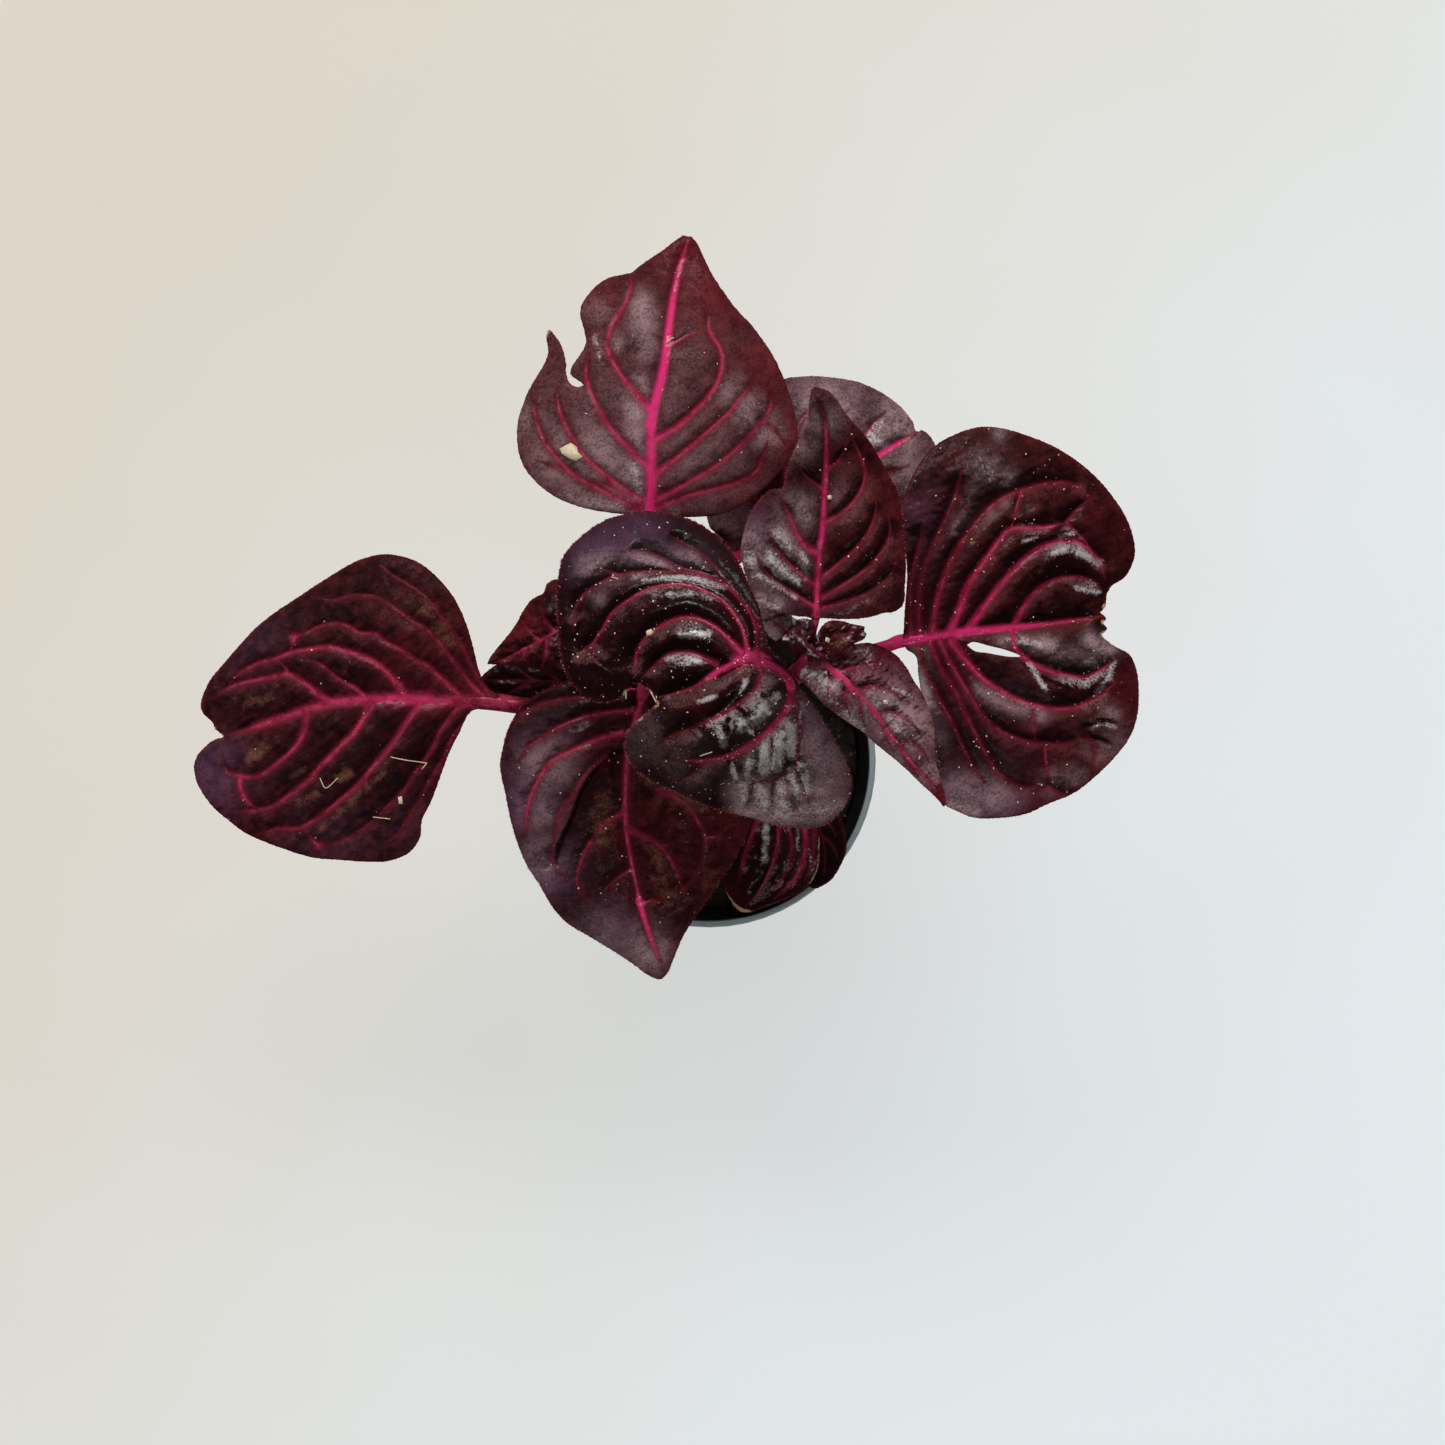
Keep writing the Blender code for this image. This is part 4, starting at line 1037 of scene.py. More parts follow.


# Leaf at the right: one of the widest, notched at its tip where it was nibbled, with a slit
# beside the midrib. Its outer folds shine, partly with painted highlights, and its two outer
# lobes are wine red. It pairs with the middle leaf on the main stem.
grow_leaf(
    "leaf_right", "main", 102.5, 0.95, [(840, 657, 104.5), (868, 652, 105.3), (889, 645.5, 105.9)],
    margin=[
        [(905, 608), (907, 568), (901, 518), (904, 498), (911, 479), (922, 460), (936, 445), (956, 434),
         (978, 427), (1001, 428), (1026, 435), (1051, 445), (1076, 460), (1099, 480), (1118, 504),
         (1130, 526), (1135, 549), (1132, 565), (1124, 578), (1113, 585), (1107, 594), (1106, 605)],
        [(1103, 610), (1100, 612)], [(1106, 618), (1103, 623)], [(1107, 629), (1102, 634)],
        [(1104, 638), (1116, 647), (1130, 655), (1137, 672), (1139, 695), (1137, 717), (1130, 737),
         (1116, 756), (1096, 776), (1074, 793), (1048, 804), (1026, 814), (1001, 818), (975, 818),
         (959, 812), (944, 804), (937, 787), (936, 765), (931, 737), (923, 703), (918.5, 675),
         (916.5, 657), (907, 650)],
        [(903, 642), (903.5, 634)],
    ],
    holes=[
        [(967, 645), (974, 642), (990, 646), (1006, 650), (1021, 656), (1008, 656.5), (988, 653),
         (975, 651), (967, 645)],
    ],
    knots=[
        (904, 636, 108), (953, 633, 107), (1034, 625, 104), (1103, 621, 100), (904, 608, 108),
        (902, 563, 107.5), (901, 518, 107), (922, 460, 106), (978, 427, 104), (1051, 445, 102),
        (1099, 480, 100), (1130, 526, 98), (1132, 565, 97), (1107, 594, 98), (918, 668, 106),
        (926, 703, 105), (937, 765, 103), (944, 804, 101), (975, 818, 99), (1048, 804, 97),
        (1096, 776, 96), (1137, 717, 95), (1134, 660, 96), (1106, 636, 98.5), (962, 530, 108.5),
        (1040, 540, 107.5), (1085, 560, 103.5), (948, 718, 106.5), (1010, 720, 104.5), (1065, 700, 102.5),
        (1095, 655, 100.5), (930, 600, 108.5),
    ],
    midrib=(6.8, 0.95, [(899, 641.5), (916, 639), (953, 633), (992, 629), (1034, 625), (1076, 620),
                        (1104, 616)]),
    veins=[
        (3.0, 0.16, [(912, 634), (910, 600), (912, 575), (919, 545), (926, 518)]),
        (4.0, 0.18, [(920, 632), (919, 600), (923, 570), (933, 545), (944, 521), (955, 495), (962, 470)]),
        (4.2, 0.34, [(932, 631), (937, 600), (945, 575), (955, 552), (975, 523), (992, 505), (1008, 495),
                     (1022, 490), (1048, 483), (1072, 484), (1090, 498)]),
        (4.2, 0.72, [(950, 630), (961, 605), (968, 585), (985, 560), (1003, 535), (1014, 528),
                     (1045, 527), (1066, 523)]),
        (4.0, 0.74, [(968, 629), (985, 605), (1000, 585), (1020, 563), (1040, 548), (1062, 541),
                     (1080, 543), (1098, 560), (1105, 578)]),
        (2.8, 0.60, [(1015, 622), (1024, 606), (1035, 592), (1052, 581), (1072, 577), (1092, 581),
                     (1102, 590)]),
        (1.8, 0.35, [(1022, 490), (1017, 505), (1012, 527)]),
        (1.6, 0.30, [(1066, 523), (1078, 508), (1092, 498)]),
        (1.6, 0.30, [(1066, 523), (1084, 540), (1092, 552)]),
        (3.0, 0.28, [(919, 645), (925, 668), (938, 695), (952, 722), (960, 740), (972, 765), (985, 782)]),
        (3.6, 0.30, [(930, 642), (940, 665), (955, 690), (968, 718), (985, 752), (1000, 774), (1020, 786),
                     (1045, 787)]),
        (3.6, 0.34, [(940, 641), (952, 665), (970, 695), (985, 718), (1005, 733), (1035, 743),
                     (1065, 743), (1088, 736)]),
        (3.8, 0.66, [(952, 641), (968, 662), (985, 680), (1005, 693), (1025, 702), (1048, 708),
                     (1075, 707), (1100, 695), (1118, 680)]),
        (3.2, 0.66, [(1012, 632), (1016, 648), (1030, 662), (1050, 671), (1068, 675), (1085, 677),
                     (1105, 667), (1118, 655)]),
        (1.8, 0.35, [(1045, 743), (1046, 765), (1050, 786)]),
        (1.8, 0.35, [(1048, 787), (1068, 795), (1080, 786)]),
        (1.6, 0.30, [(1035, 705), (1032, 722), (1036, 742)]),
        (1.6, 0.30, [(1088, 736), (1096, 750), (1092, 768)]),
        (3.4, 1.3, [(960, 632), (975, 631), (992, 629), (1034, 625), (1060, 622)]),
    ],
    depth=1.9, pillow=11.0, unevenness=0.035, gloss_all=0.1,
    folds=[(0.7, 10.0, [(1014, 656), (1030, 668), (1050, 680), (1070, 687)])],
    grooves=[
        (0.6, 2.6, [(1085, 728), (1102, 722), (1118, 726)]),
        (0.5, 2.4, [(1080, 738), (1098, 740), (1112, 746)]),
    ],
    red=[(1105, 520, 50, 0.25), (1125, 700, 40, 0.4), (1060, 790, 60, 0.35), (1110, 780, 40, 0.5)],
    purple=[(930, 720, 20, 0.5), (955, 795, 1005, 800, 24, 0.9), (1000, 800, 50, 0.3),
            (920, 520, 30, 0.35), (985, 690, 1040, 710, 14, 0.6)],
    grey=[(985, 468, 18, 0.35), (935, 740, 12, 0.35), (1110, 745, 24, 0.35), (920, 653, 926, 700, 8, 1.4),
          (960, 792, 995, 796, 18, 0.7), (980, 692, 1042, 712, 9, 0.8), (1008, 478, 10, 0.7),
          (1004, 500, 8, 0.5), (960, 530, 985, 512, 8, 0.9), (950, 806, 975, 812, 8, 1.2),
          (1000, 434, 8, 0.5), (1060, 655, 1095, 660, 10, 0.5), (1110, 715, 10, 0.7),
          (1005, 640, 1050, 646, 9, 0.9), (1090, 640, 1108, 650, 9, 0.9), (1055, 783, 1075, 778, 12, 0.5)],
    dark=[(1075, 560, 40, 1.0), (1085, 665, 34, 1.0), (1040, 560, 30, 0.8), (1000, 665, 40, 0.7),
          (940, 600, 50, 0.9), (950, 730, 990, 755, 26, 1.0), (1050, 750, 40, 0.5)],
    pale=[(1060, 538, 1074, 533, 4, 1.0), (1022, 541, 1036, 538, 4, 0.8), (1052, 554, 1066, 549, 5, 0.9),
          (1078, 552, 1098, 562, 6, 1.0), (1078, 588, 1098, 592, 5, 0.9), (1030, 664, 1046, 690, 4, 1.0),
          (1062, 682, 1088, 684, 5, 0.7), (1096, 694, 1108, 678, 1114, 660, 5, 1.0),
          (1088, 662, 1104, 660, 6, 0.7), (1092, 722, 1112, 724, 4, 0.8), (980, 460, 994, 478, 8, 0.5),
          (924, 700, 938, 770, 7, 0.5), (1008, 640, 1040, 644, 5, 0.7), (990, 691, 1035, 708, 3, 0.6)],
    brown=[(985, 560, 1010, 545, 10, 0.4), (1010, 585, 1040, 570, 9, 0.4), (990, 700, 1010, 712, 9, 0.4)],
    gloss=[(1075, 552, 26, 1.0), (1095, 588, 12, 0.9), (1085, 678, 26, 1.0), (1035, 525, 16, 0.5),
           (1105, 722, 14, 0.8)],
    dry=[(1104, 606, 4, 0.9), (1103, 622, 4, 0.9), (1103, 634, 5, 0.9)],
)


# Leaf at the top: grows from the side stem's top, satin brown-maroon with a vivid midrib. A
# bite out of its left side leaves a spur, and its tip and right edge are wine red.
grow_leaf(
    "leaf_top", "side", 88.0, 1.0, [(652, 560, 91), (650, 535, 94)],
    margin=[
        [(622, 514), (584, 508), (549, 493), (523, 465), (517, 429), (527, 394), (543, 366), (548, 352),
         (546, 337)],
        [(548, 330), (553, 333), (561, 345), (566, 362), (566, 372), (569, 382), (577, 387), (584, 385)],
        [(578, 380), (571, 375), (571, 368), (577, 359), (584, 348), (586, 340), (583, 326), (580, 314),
         (583, 302), (594, 288), (608, 278), (625, 274), (632, 272), (645, 262), (660, 252), (672, 243),
         (683, 235)],
        [(688, 236.5), (691, 236)],
        [(698, 245), (712, 274), (731, 302), (742, 315), (754, 328), (775, 359), (791, 399), (798, 436),
         (792, 455), (778, 474), (750, 500), (721, 514), (688, 517), (658, 514)],
        [(650, 516), (643, 514)],
    ],
    knots=[
        (650, 511, 96.5), (652, 415, 100), (663, 373, 100), (672, 311, 97), (688, 238, 93),
        (622, 515, 96.5), (584, 508, 96), (549, 493, 95), (523, 465, 94), (517, 429, 94), (527, 394, 94),
        (547, 345, 95.0), (570, 378, 96.5), (584, 350, 96.5), (583, 302, 95.5), (608, 278, 95),
        (660, 252, 93.5), (688, 518, 96), (750, 500, 95), (792, 455, 94), (798, 430, 94), (791, 399, 94),
        (754, 328, 94), (712, 274, 93.5), (585, 430, 98.5), (725, 422, 99.5), (620, 340, 99.8),
        (708, 350, 99.3), (610, 470, 98.5), (700, 470, 98.5),
    ],
    midrib=(7.0, 1.0, [(650, 511), (651, 481), (651, 445), (652, 415), (658, 393), (664, 368), (668, 342),
                       (672, 311), (677, 278), (683, 257), (688, 242)]),
    veins=[
        (3.6, 0.62, [(656, 439), (679, 425), (702, 403), (716, 385), (722, 365), (720, 348), (712, 336),
                     (708, 322), (711, 306)]),
        (1.8, 0.40, [(670, 345), (685, 337), (700, 331), (708, 332)]),
        (3.4, 0.58, [(655, 474), (680, 455), (702, 436), (726, 415), (740, 398), (748, 388), (754, 376)]),
        (3.4, 0.58, [(655, 500), (691, 481), (721, 462), (745, 440), (761, 422), (771, 405), (769, 388)]),
        (3.0, 0.52, [(657, 507), (690, 495), (726, 486), (752, 475), (762, 460), (768, 440)]),
        (3.6, 0.62, [(652, 411), (640, 398), (625, 380), (612, 360), (607, 344), (612, 325), (624, 305),
                     (631, 285), (629, 272)]),
        (3.6, 0.62, [(648, 467), (622, 441), (605, 420), (592, 395), (586, 372), (590, 352)]),
        (3.4, 0.58, [(642, 500), (608, 477), (584, 455), (568, 430), (559, 408), (557, 388)]),
        (3.2, 0.52, [(638, 509), (603, 491), (573, 474), (552, 452), (540, 432), (534, 408), (537, 395)]),
        (1.6, 0.30, [(573, 474), (552, 466), (535, 460)]),
        (1.6, 0.30, [(606, 340), (612, 352), (622, 362)]),
        (1.5, 0.28, [(761, 422), (775, 430), (786, 445)]),
        (4.8, 1.25, [(650, 424), (657, 393), (663, 368), (667, 342), (671, 311), (677, 278), (683, 257),
                     (688, 240)]),
        (3.0, 0.6, [(649, 508), (632, 499), (612, 489), (590, 478)]),
    ],
    depth=0.6, pillow=9.0, unevenness=0.022, gloss_all=0.1, red_all=0.36,
    folds=[(0.6, 12.0, [(632, 270), (630, 290), (628, 310), (630, 335), (634, 355)])],
    red=[(715, 290, 50, 0.9), (765, 370, 44, 0.9), (790, 440, 34, 0.8), (600, 295, 40, 0.7),
         (680, 255, 40, 0.9), (740, 495, 34, 0.6), (652, 400, 24, 0.8)],
    grey=[(600, 455, 40, 0.8), (560, 455, 40, 0.5), (632, 492, 26, 1.3),
          (638, 390, 640, 445, 638, 480, 18, 1.0), (592, 505, 640, 500, 12, 1.4), (700, 455, 60, 0.4),
          (735, 395, 764, 435, 20, 0.7), (670, 508, 12, 0.6), (530, 420, 20, 0.5), (640, 430, 110, 0.3),
          (610, 345, 14, 0.9), (575, 505, 24, 0.7), (595, 312, 14, 0.5), (640, 305, 648, 350, 15, 0.75)],
    dark=[(682, 362, 24, 0.9), (672, 400, 16, 0.9), (575, 415, 16, 0.9), (549, 420, 12, 0.9),
          (545, 482, 14, 0.8), (690, 435, 18, 0.8), (600, 280, 688, 242, 12, 1.0),
          (660, 425, 720, 385, 10, 0.8), (625, 335, 12, 1.0), (575, 405, 605, 450, 8, 0.8)],
    brown=[(700, 380, 690, 300, 24, 0.35), (735, 400, 30, 0.3)],
    purple=[(632, 470, 641, 500, 13, 0.8), (626, 436, 16, 0.35)],
    pale=[(594, 338, 600, 350, 601, 364, 5, 0.6), (640, 505, 615, 505, 8, 0.5),
          (634, 468, 642, 500, 8, 0.6)],
    dry=[(547, 333, 6, 0.7), (596, 345, 5, 0.6), (599, 358, 4, 0.5), (750, 311, 4, 0.6)],
)


# Leaf at the left: low on the side stem on the longest and thickest stalk. It lies flat,
# near black between wide crimson veins, with a torn notch at its tip.
grow_leaf(
    "leaf_left", "side", 57.0, 1.45, [(620, 716, 66), (565, 711, 72.5), (520, 705.5, 76.7)],
    margin=[
        [(490, 689.5), (483, 681), (478, 667), (474, 651), (468, 629), (459, 607), (447, 588), (427, 568),
         (408, 558), (386, 554), (365, 558), (345, 567), (304, 593), (260, 624), (224, 663), (209, 682),
         (201, 702), (203, 713), (212, 722), (215, 729)],
        [(222, 735), (223, 737)],
        [(214, 740), (207, 745), (197, 756), (194, 770), (199, 787), (212, 806), (228, 820), (253, 837),
         (306, 856), (340, 860), (374, 862), (393, 860), (410, 852), (420, 837), (422, 820), (432, 799),
         (442, 772), (449, 753), (459, 733), (467, 716), (475, 709.5), (487, 709), (499, 710)],
        [(501, 702.5), (499, 695)],
    ],
    knots=[
        (499, 702, 78.4), (480, 701, 79), (410, 699, 80), (337, 702, 79), (277, 719, 76), (224, 735, 72),
        (470, 714, 79), (449, 753, 78), (430, 803, 76.5), (417, 846, 75), (374, 862, 74), (306, 856, 73),
        (253, 837, 72), (199, 787, 71), (194, 765, 71), (208, 744, 71.5), (476, 660, 79), (459, 607, 79),
        (427, 568, 78), (386, 554, 77), (345, 567, 76), (304, 593, 75), (260, 624, 74), (224, 663, 73),
        (202, 700, 72), (213, 726, 72), (398, 626, 81.3), (392, 780, 79.8), (290, 660, 77.3),
        (275, 790, 75.6), (340, 780, 78.3), (430, 640, 80.8),
    ],
    midrib=(10.0, 0.34, [(500, 702.5), (480, 701), (460, 700), (440, 700), (400, 698), (375, 699),
                         (340, 701), (310, 708), (280, 718), (253, 728), (222, 735)]),
    veins=[
        (2.6, 0.26, [(484, 696), (470, 683), (460, 669), (450, 657), (438, 641), (426, 629), (410, 619),
                     (390, 605), (372, 596), (350, 596), (334, 600), (318, 598)]),
        (2.4, 0.18, [(489, 695), (473, 668), (458, 639), (442, 617), (426, 597), (410, 585), (396, 577),
                     (380, 565)]),
        (3.4, 0.34, [(458, 694), (440, 677), (426, 665), (414, 659), (400, 649), (384, 641), (376, 634),
                     (360, 633), (346, 625), (330, 624), (318, 627), (306, 633), (294, 637)]),
        (4.2, 0.46, [(404, 694), (396, 682), (388, 673), (376, 663), (362, 656), (346, 651), (330, 647),
                     (310, 649), (290, 653), (274, 659), (258, 663), (240, 673), (228, 685)]),
        (4.0, 0.50, [(332, 702), (320, 695), (310, 687), (298, 679), (288, 674), (280, 675), (266, 678),
                     (250, 681), (230, 687), (216, 697)]),
        (4.2, 0.50, [(294, 637), (292, 645), (290, 653)]),
        (2.4, 0.34, [(366, 698), (354, 687), (342, 681), (330, 672), (318, 663), (302, 660)]),
        (2.6, 0.40, [(288, 674), (284, 666), (274, 659)]),
        (3.8, 0.42, [(308, 708), (302, 736), (290, 752), (276, 764), (262, 774), (248, 777), (236, 775),
                     (226, 770), (220, 756)]),
        (3.6, 0.46, [(240, 776), (241, 790), (250, 804), (262, 810)]),
        (4.2, 0.48, [(372, 702), (356, 730), (342, 744), (330, 757), (320, 766), (310, 778), (298, 788),
                     (282, 800), (270, 807), (256, 810), (234, 812)]),
        (3.6, 0.48, [(420, 703), (406, 722), (396, 738), (382, 756), (370, 770), (360, 783), (346, 795),
                     (330, 808), (314, 820), (298, 828), (280, 828), (266, 832), (256, 835)]),
        (2.6, 0.30, [(460, 704), (442, 728), (436, 740), (426, 758), (414, 774), (404, 790), (388, 806),
                     (374, 820), (354, 834), (338, 842), (318, 845)]),
        (3.2, 0.42, [(318, 845), (312, 839), (307, 832), (300, 829)]),
        (2.6, 0.24, [(476, 706), (452, 738), (444, 756), (432, 776), (420, 798), (408, 818), (396, 836),
                     (384, 843)]),
        (7.6, 0.66, [(470, 700.5), (450, 700), (430, 699.5), (405, 698.5)]),
        (7.6, 0.90, [(428, 699.5), (400, 698), (375, 699), (340, 701), (310, 708), (280, 718),
                     (240, 731)]),
    ],
    depth=0.9, pillow=9.0, unevenness=0.04, gloss_all=0.04, stalk_glow=0.26,
    dark=[(300, 680, 60, 0.5), (360, 740, 70, 0.8), (420, 740, 40, 0.7), (350, 665, 40, 0.5),
          (300, 760, 40, 0.7)],
    brown=[(250, 758, 264, 748, 9, 0.75), (292, 778, 306, 768, 6, 0.5), (298, 804, 316, 794, 7, 0.65),
           (322, 828, 344, 808, 366, 786, 6, 0.62), (366, 790, 384, 772, 5, 0.55),
           (338, 778, 350, 773, 7, 0.8), (270, 696, 250, 704, 9, 0.5), (420, 600, 450, 640, 18, 0.5),
           (345, 672, 330, 668, 8, 0.35)],
    red=[(420, 590, 60, 0.15), (460, 640, 40, 0.15)],
    purple=[(212, 775, 36, 0.75), (250, 640, 40, 0.25), (330, 850, 50, 0.3), (420, 830, 40, 0.2)],
    dry=[(214, 729, 3, 0.9), (222, 735, 3, 0.7)],
)


# Leaf at the front: hangs over the pot's near rim and ends in a point. Its left half stands
# proud of the rest along a sharp fold, purple on the left and dark red on the right. It
# pairs with the top leaf on the side stem.
grow_leaf(
    "leaf_front", "side", 87.0, 1.1, [(654, 640, 90), (648, 675, 89.6)],
    margin=[
        [(620, 688), (597, 683), (569, 683), (549, 688), (531, 698), (518, 711), (508, 729), (503, 747),
         (500, 767), (505, 793), (509, 813), (516, 839), (526, 864), (539, 884), (551, 905), (567, 923),
         (590, 937), (613, 951), (633, 964), (646, 974), (656, 979)],
        [(662, 979), (669, 971)],
        [(676, 953), (684, 935), (697, 915), (710, 897), (722, 879), (735, 859), (745, 839), (750, 823),
         (753, 802), (738, 763), (705, 722), (680, 706), (650, 692)],
        [(642, 688), (634, 690)],
    ],
    knots=[
        (641, 703, 88.5), (627, 757, 86), (627, 813, 83), (636, 884, 78), (661, 978, 69), (665, 702, 88),
        (705, 722, 87), (738, 763, 85), (753, 802, 82), (750, 823, 80.5), (735, 859, 77.5),
        (710, 897, 74.5), (684, 935, 72), (671, 966, 69.5), (620, 688, 88), (597, 682, 87.5),
        (569, 683, 86.5), (531, 698, 84.5), (508, 729, 82), (500, 767, 80), (509, 813, 78),
        (526, 864, 75.5), (551, 905, 73.5), (590, 937, 71), (633, 964, 69.5), (560, 745, 87.3),
        (560, 810, 84), (682, 790, 86.5), (690, 860, 80.5), (575, 880, 79), (625, 930, 74.8),
    ],
    midrib=(4.8, 0.62, [(641, 700), (636, 720), (629, 745), (626, 770), (625, 800), (626, 830),
                        (630, 855), (636, 884), (643, 915), (652, 941), (661, 966)]),
    veins=[
        (3.2, 0.36, [(633, 711), (612, 712), (583, 717), (559, 727), (544, 736), (530, 746), (517, 763)]),
        (3.6, 0.58, [(622, 733), (596, 740), (573, 750), (553, 760), (542, 773), (532, 793), (527, 812),
                     (526, 835)]),
        (2.4, 0.28, [(605, 757), (585, 775), (572, 795), (560, 810), (555, 835), (551, 855)]),
        (2.6, 0.26, [(618, 697), (592, 697), (569, 698), (544, 703), (524, 713), (512, 729)]),
        (3.0, 0.34, [(622, 813), (610, 819), (600, 826), (592, 840)]),
        (3.0, 0.34, [(629, 829), (650, 839), (666, 853), (676, 871), (683, 889)]),
        (3.0, 0.34, [(660, 790), (673, 796), (686, 805), (697, 820), (705, 838), (703, 858), (697, 875)]),
        (2.0, 0.38, [(627, 757), (650, 770), (680, 775), (705, 790), (727, 815)]),
        (1.8, 0.34, [(705, 838), (718, 836), (727, 828)]),
        (1.8, 0.32, [(683, 889), (690, 883), (697, 875)]),
        (2.0, 0.34, [(590, 842), (582, 858), (577, 884), (590, 905)]),
        (1.8, 0.30, [(551, 855), (558, 872), (575, 880)]),
        (1.8, 0.30, [(630, 870), (615, 880), (600, 895)]),
        (1.6, 0.28, [(640, 905), (655, 900), (672, 905)]),
        (2.6, 1.40, [(639, 900), (645, 921), (652, 941), (661, 964)]),
    ],
    depth=1.0, pillow=9.0, unevenness=0.04, gloss_all=0.1,
    brown=[(655, 770, 690, 800, 22, 0.7), (655, 850, 670, 900, 16, 0.5), (605, 800, 600, 840, 14, 0.6),
           (710, 880, 18, 0.5)],
    folds=[
        (2.2, 34.0, [(556, 870), (559, 845), (569, 824), (576, 806), (583, 789), (592, 774), (600, 763),
                     (619, 750), (626, 742)]),
    ],
    # Painted shade: dark beside the raised fold and along the upper edge, under the middle leaf.
    dark=[(592, 850, 34, 0.9), (590, 800, 34, 0.9), (515, 715, 600, 700, 28, 1.0), (585, 765, 20, 0.7)],
    red=[(700, 860, 60, 0.3), (640, 850, 50, 0.2), (735, 820, 40, 0.5), (660, 960, 30, 0.4)],
    purple=[(525, 800, 34, 1.0), (545, 870, 34, 0.95), (610, 938, 36, 0.8), (545, 755, 34, 0.6),
            (640, 955, 30, 0.8)],
    grey=[(545, 765, 24, 0.6), (540, 810, 20, 0.4), (540, 860, 22, 0.5), (600, 935, 24, 0.4),
          (645, 950, 22, 0.9)],
    pale=[(547, 868, 556, 867, 3, 1.1)],
)


# Crown leaf that points up: cupped and rising a little to its tip, satin grey-black on its lit
# left half, with painted sheen and highlights there, and dark red-brown on the right. Its stalk
# is short and thin, off the main stem.
grow_leaf(
    "leaf_crown_upper", "main", 110.5, 0.5, [(811, 640, 116.6), (814, 628, 118.4)],
    margin=[
        [(796, 616), (778, 612), (761, 606), (751, 589), (744, 570), (741, 552), (743, 535), (749, 516),
         (758, 501), (770, 490), (782, 489)],
        [(785, 480), (789, 463), (796, 446), (804, 430), (808, 415), (809, 401), (811, 390)],
        [(814, 387), (818, 387)],
        [(830, 392), (839, 403), (847, 415), (858, 427), (870, 442), (880, 459), (890, 477), (897, 490),
         (901, 508), (903, 534), (906, 559), (905, 585), (904, 602), (896, 611), (884, 613), (870, 617),
         (854, 619), (836, 619), (822, 618)],
        [(815, 619), (808, 617)],
    ],
    knots=[
        (816, 614, 120), (819, 556, 121), (826, 466, 123), (823, 413, 125), (813, 391, 127),
        (796, 616, 121), (761, 606, 123), (744, 570, 124), (743, 535, 125), (758, 501, 126),
        (782, 489, 126.5), (789, 463, 126.5), (804, 430, 126.5), (808, 405, 127), (836, 618, 121),
        (880, 614, 121.5), (905, 603, 122), (906, 559, 123), (901, 508, 124), (880, 459, 125.5),
        (858, 427, 126.5), (832, 396, 127), (785, 560, 123.3), (860, 540, 123.3), (850, 470, 124.5),
    ],
    midrib=(4.6, 0.66, [(816, 614), (817, 585), (819, 556), (822, 534), (824, 501), (826, 466),
                        (826, 435), (823, 413), (815, 394)]),
    veins=[
        (2.4, 0.42, [(826, 522), (847, 508), (860, 492), (865, 472), (860, 455), (851, 435)]),
        (2.6, 0.34, [(822, 577), (840, 562), (858, 546), (870, 528), (876, 511), (875, 494)]),
        (2.4, 0.34, [(822, 597), (849, 581), (870, 565), (884, 547), (890, 532), (888, 514)]),
        (2.2, 0.24, [(824, 607), (850, 600), (872, 590), (890, 575), (897, 558)]),
        (4.2, 0.70, [(817, 553), (805, 545), (796, 532), (788, 512), (781, 499)]),
        (2.4, 0.45, [(815, 585), (800, 573), (787, 562), (776, 548), (768, 533)]),
        (2.4, 0.42, [(814, 606), (795, 594), (779, 584), (766, 573), (758, 558)]),
        (1.8, 0.32, [(826, 470), (840, 458), (848, 440)]),
        (1.8, 0.32, [(824, 490), (808, 478), (797, 465)]),
        (2.6, 1.0, [(820, 545), (822, 534), (824, 501), (826, 466), (826, 435), (824, 418)]),
    ],
    depth=1.4, pillow=8.5, unevenness=0.03, gloss_all=0.1,
    red=[(865, 500, 50, 0.35), (870, 570, 40, 0.25), (820, 400, 20, 0.5)],
    purple=[(760, 530, 26, 0.6), (790, 600, 20, 0.4)],
    grey=[(772, 560, 24, 0.95), (752, 545, 18, 0.8), (788, 540, 20, 1.2), (775, 604, 10, 0.7),
          (805, 450, 16, 0.5), (800, 515, 20, 0.9), (805, 568, 10, 1.1), (760, 600, 8, 0.8),
          (822, 415, 18, 0.8), (845, 500, 22, 0.25)],
    pale=[(749, 553, 756, 574, 8, 0.8), (760, 575, 776, 584, 794, 596, 5, 0.95),
          (769, 555, 782, 570, 797, 581, 6, 1.0), (778, 535, 786, 546, 9, 0.75),
          (803, 568, 807, 577, 5, 0.85), (762, 601, 776, 608, 6, 0.65), (801, 553, 807, 562, 4, 0.9)],
    dark=[(780, 592, 18, 1.0), (860, 580, 40, 0.6), (850, 555, 40, 0.6), (845, 470, 22, 0.7)],
    gloss=[(770, 556, 28, 1.0), (765, 530, 20, 0.8)],
    curl=0.2, grain=1.4, stalk_glow=0.25,
)


